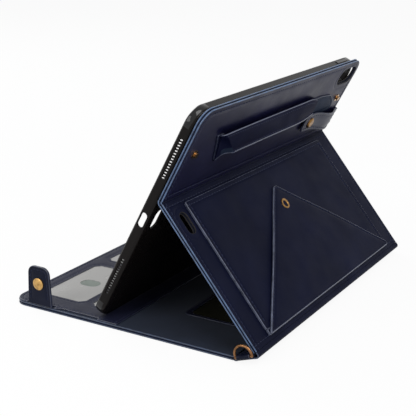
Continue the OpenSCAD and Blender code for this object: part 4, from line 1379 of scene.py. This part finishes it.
def seen_directly(tree, amount):
    """Amount for camera, glossy and transmission rays, and 0 for light that falls on the object."""
    rays = tree.nodes.new("ShaderNodeLightPath").outputs
    total = rays["Is Camera Ray"]
    for name in ("Is Glossy Ray", "Is Transmission Ray"):
        total = add_node(tree, "Math", {0: total, 1: rays[name]}, operation="MAXIMUM").outputs[0]
    return add_node(tree, "Math", {0: total, 1: amount}, operation="MULTIPLY").outputs[0]


def mix_in_white(tree, plain, kind, amount, output):
    """White at strength 1 for rays that see the backdrop directly, over its plain look."""
    white = add_node(tree, kind, {"Color": (1, 1, 1, 1), "Strength": 1.0})
    mix = add_node(tree, "MixShader", {"Fac": seen_directly(tree, amount), 1: plain, 2: white.outputs[0]})
    set_inputs(tree, tree.nodes[output], {"Surface": mix.outputs["Shader"]})


def make_stage():
    mesh = bpy.data.meshes.new("floor")
    size = FLOOR_HALF
    mesh.from_pydata([(-size, -size, 0), (size, -size, 0), (size, size, 0), (-size, size, 0)],
                     [], [(0, 1, 2, 3)])
    material = bpy.data.materials.new("pale_floor")
    material.use_nodes = True
    tree = material.node_tree
    shader = tree.nodes["Principled BSDF"]
    set_inputs(tree, shader, {"Base Color": (0.86, 0.86, 0.86, 1), "Roughness": 0.9,
                              "Specular IOR Level": 0.0})
    mix_in_white(tree, shader.outputs["BSDF"], "Emission", FLOOR_GLOW, "Material Output")
    floor = add_object("floor", mesh, [material])
    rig.stage(floor)


def make_world():
    world = bpy.data.worlds.new("studio")
    bpy.context.scene.world = world
    world.use_nodes = True
    tree = world.node_tree
    light = tree.nodes["Background"]
    set_inputs(tree, light, {"Color": SKY, "Strength": SKY_STRENGTH})
    mix_in_white(tree, light.outputs["Background"], "Background", 1.0, "World Output")


def make_lights():
    for name, place_at, target, size, power in LAMPS:
        data = bpy.data.lights.new(name, "AREA")
        data.shape = "RECTANGLE"
        data.size, data.size_y = size
        data.energy = power
        lamp = bpy.data.objects.new(name, data)
        lamp.location = place_at
        lamp.rotation_euler = (Vector(target) - Vector(place_at)).to_track_quat("-Z", "Y").to_euler()
        bpy.context.collection.objects.link(lamp)


# ---------------------------------------------------------------- records of what the render shows
HIDDEN_BY = 0.8


def shown_vertices(names):
    """World vertices of the named objects that the camera sees."""
    scene = bpy.context.scene
    graph = bpy.context.evaluated_depsgraph_get()
    start = camera.location
    seen = []
    for name in names:
        piece = bpy.data.objects[name].evaluated_get(graph)
        for vertex in piece.data.vertices:
            spot = piece.matrix_world @ vertex.co
            reach = (spot - start).length
            hit, where, *_ = scene.ray_cast(graph, start, (spot - start) / reach)
            if not hit or (where - start).length > reach - HIDDEN_BY * MM:
                seen.append(tuple(spot))
    return np.array(seen)


FEATURES = {
    "near_tab_snap": (["near_tab_snap"], "middle"),
    "near_stud": (["closure_studs"], "left half"),
    "far_stud": (["closure_studs"], "right half"),
    "flap_apex": (["flap_sheet"], "top"),
    "flap_snap": (["flap_snap_cap"], "middle"),
    "keeper_snap": (["keeper_snap"], "middle"),
    "near_ring": (["near_d_ring"], "middle"),
    "fold_near": (["stand_leather"], "left"),
    "cover_far_corner": (["cover_leather"], "right"),
}
SEAMS = {"cover_seam": "cover_stitches", "stand_seam": "stand_stitches", "pocket_seam": "pocket_stitches",
         "flap_seam": "flap_stitches", "tab_seam": "near_tab_sheet_stitches",
         "wallet_seam": "wallet_stitches"}


def shown_at(names, how):
    spots = image_of(shown_vertices(names))
    x, y = spots.T
    if "half" in how:
        middle = (x.min() + x.max()) / 2
        spots = spots[x < middle] if how == "left half" else spots[x > middle]
    if how in ("middle", "left half", "right half"):
        return (spots.min(axis=0) + spots.max(axis=0)) / 2
    order = {"left": x, "right": -x, "top": y, "bottom": -y}[how]
    return spots[np.argmin(order)]


def write_records():
    deviations = {}
    for name, (pieces, how) in FEATURES.items():
        shown = shown_at(pieces, how)
        deviations[name] = [round(float(a - b), 1) for a, b in zip(shown, FEATURE_POINTS[name])]
    slot = image_of([STAND.at(SLOT[0], SLOT[1])])[0]
    deviations["stand_slot"] = [round(float(a - b), 1) for a, b in zip(slot, FEATURE_POINTS["stand_slot"])]
    for name, piece in SEAMS.items():
        spots = image_of(shown_vertices([piece]))
        nearest = spots[np.argmin(np.linalg.norm(spots - SEAM_POINTS[name], axis=1))]
        deviations[name] = [round(float(a - b), 1) for a, b in zip(nearest, SEAM_POINTS[name])]
    limits = {name: [] for name in EDGE_POINTS}
    for name, how in (("wallet_sheet", "left"), ("stand_leather", "right"), ("shell_tray", "top"),
                      ("spine_bend", "bottom"), ("base_leather", "left"), ("near_ring_tab", "bottom")):
        spot = shown_at([name], how)
        limits[how].append(spot[0] if how in ("left", "right") else spot[1])
    for how, values in limits.items():
        value = min(values) if how in ("left", "top") else max(values)
        deviations[how] = round(float(value - EDGE_POINTS[how]), 1)
    with open("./points.json", "w") as out:
        json.dump(deviations, out, indent=1)
    boxes = {"cad": [list(corner) for corner in cad_box], "visual": [list(corner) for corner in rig.bounds()]}
    with open("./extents.json", "w") as out:
        json.dump(boxes, out, indent=1)


# ---------------------------------------------------------------- the scene
paint_nodes()
make_base()
make_wallet()
make_tab("near_tab_sheet", NEAR_TAB, "near_tab", "near_closure_tab")
make_tab("far_tab_sheet", FAR_TAB, "far_tab", "far_closure_tab")
make_spine()
make_ring_loop("near_ring_tab", "near_ring_swing", "near_ring_loop", 1)
make_ring_loop("far_ring_tab", "far_ring_swing", "far_ring_loop", -1)
make_fold()
make_stand()
make_pocket()
make_hem()
make_flap()
make_cover()
make_strap_anchors()
make_strap()
make_bumpers()
make_keeper()
make_stage()
make_world()
make_lights()
bpy.context.scene.view_settings.view_transform = "Standard"
write_records()
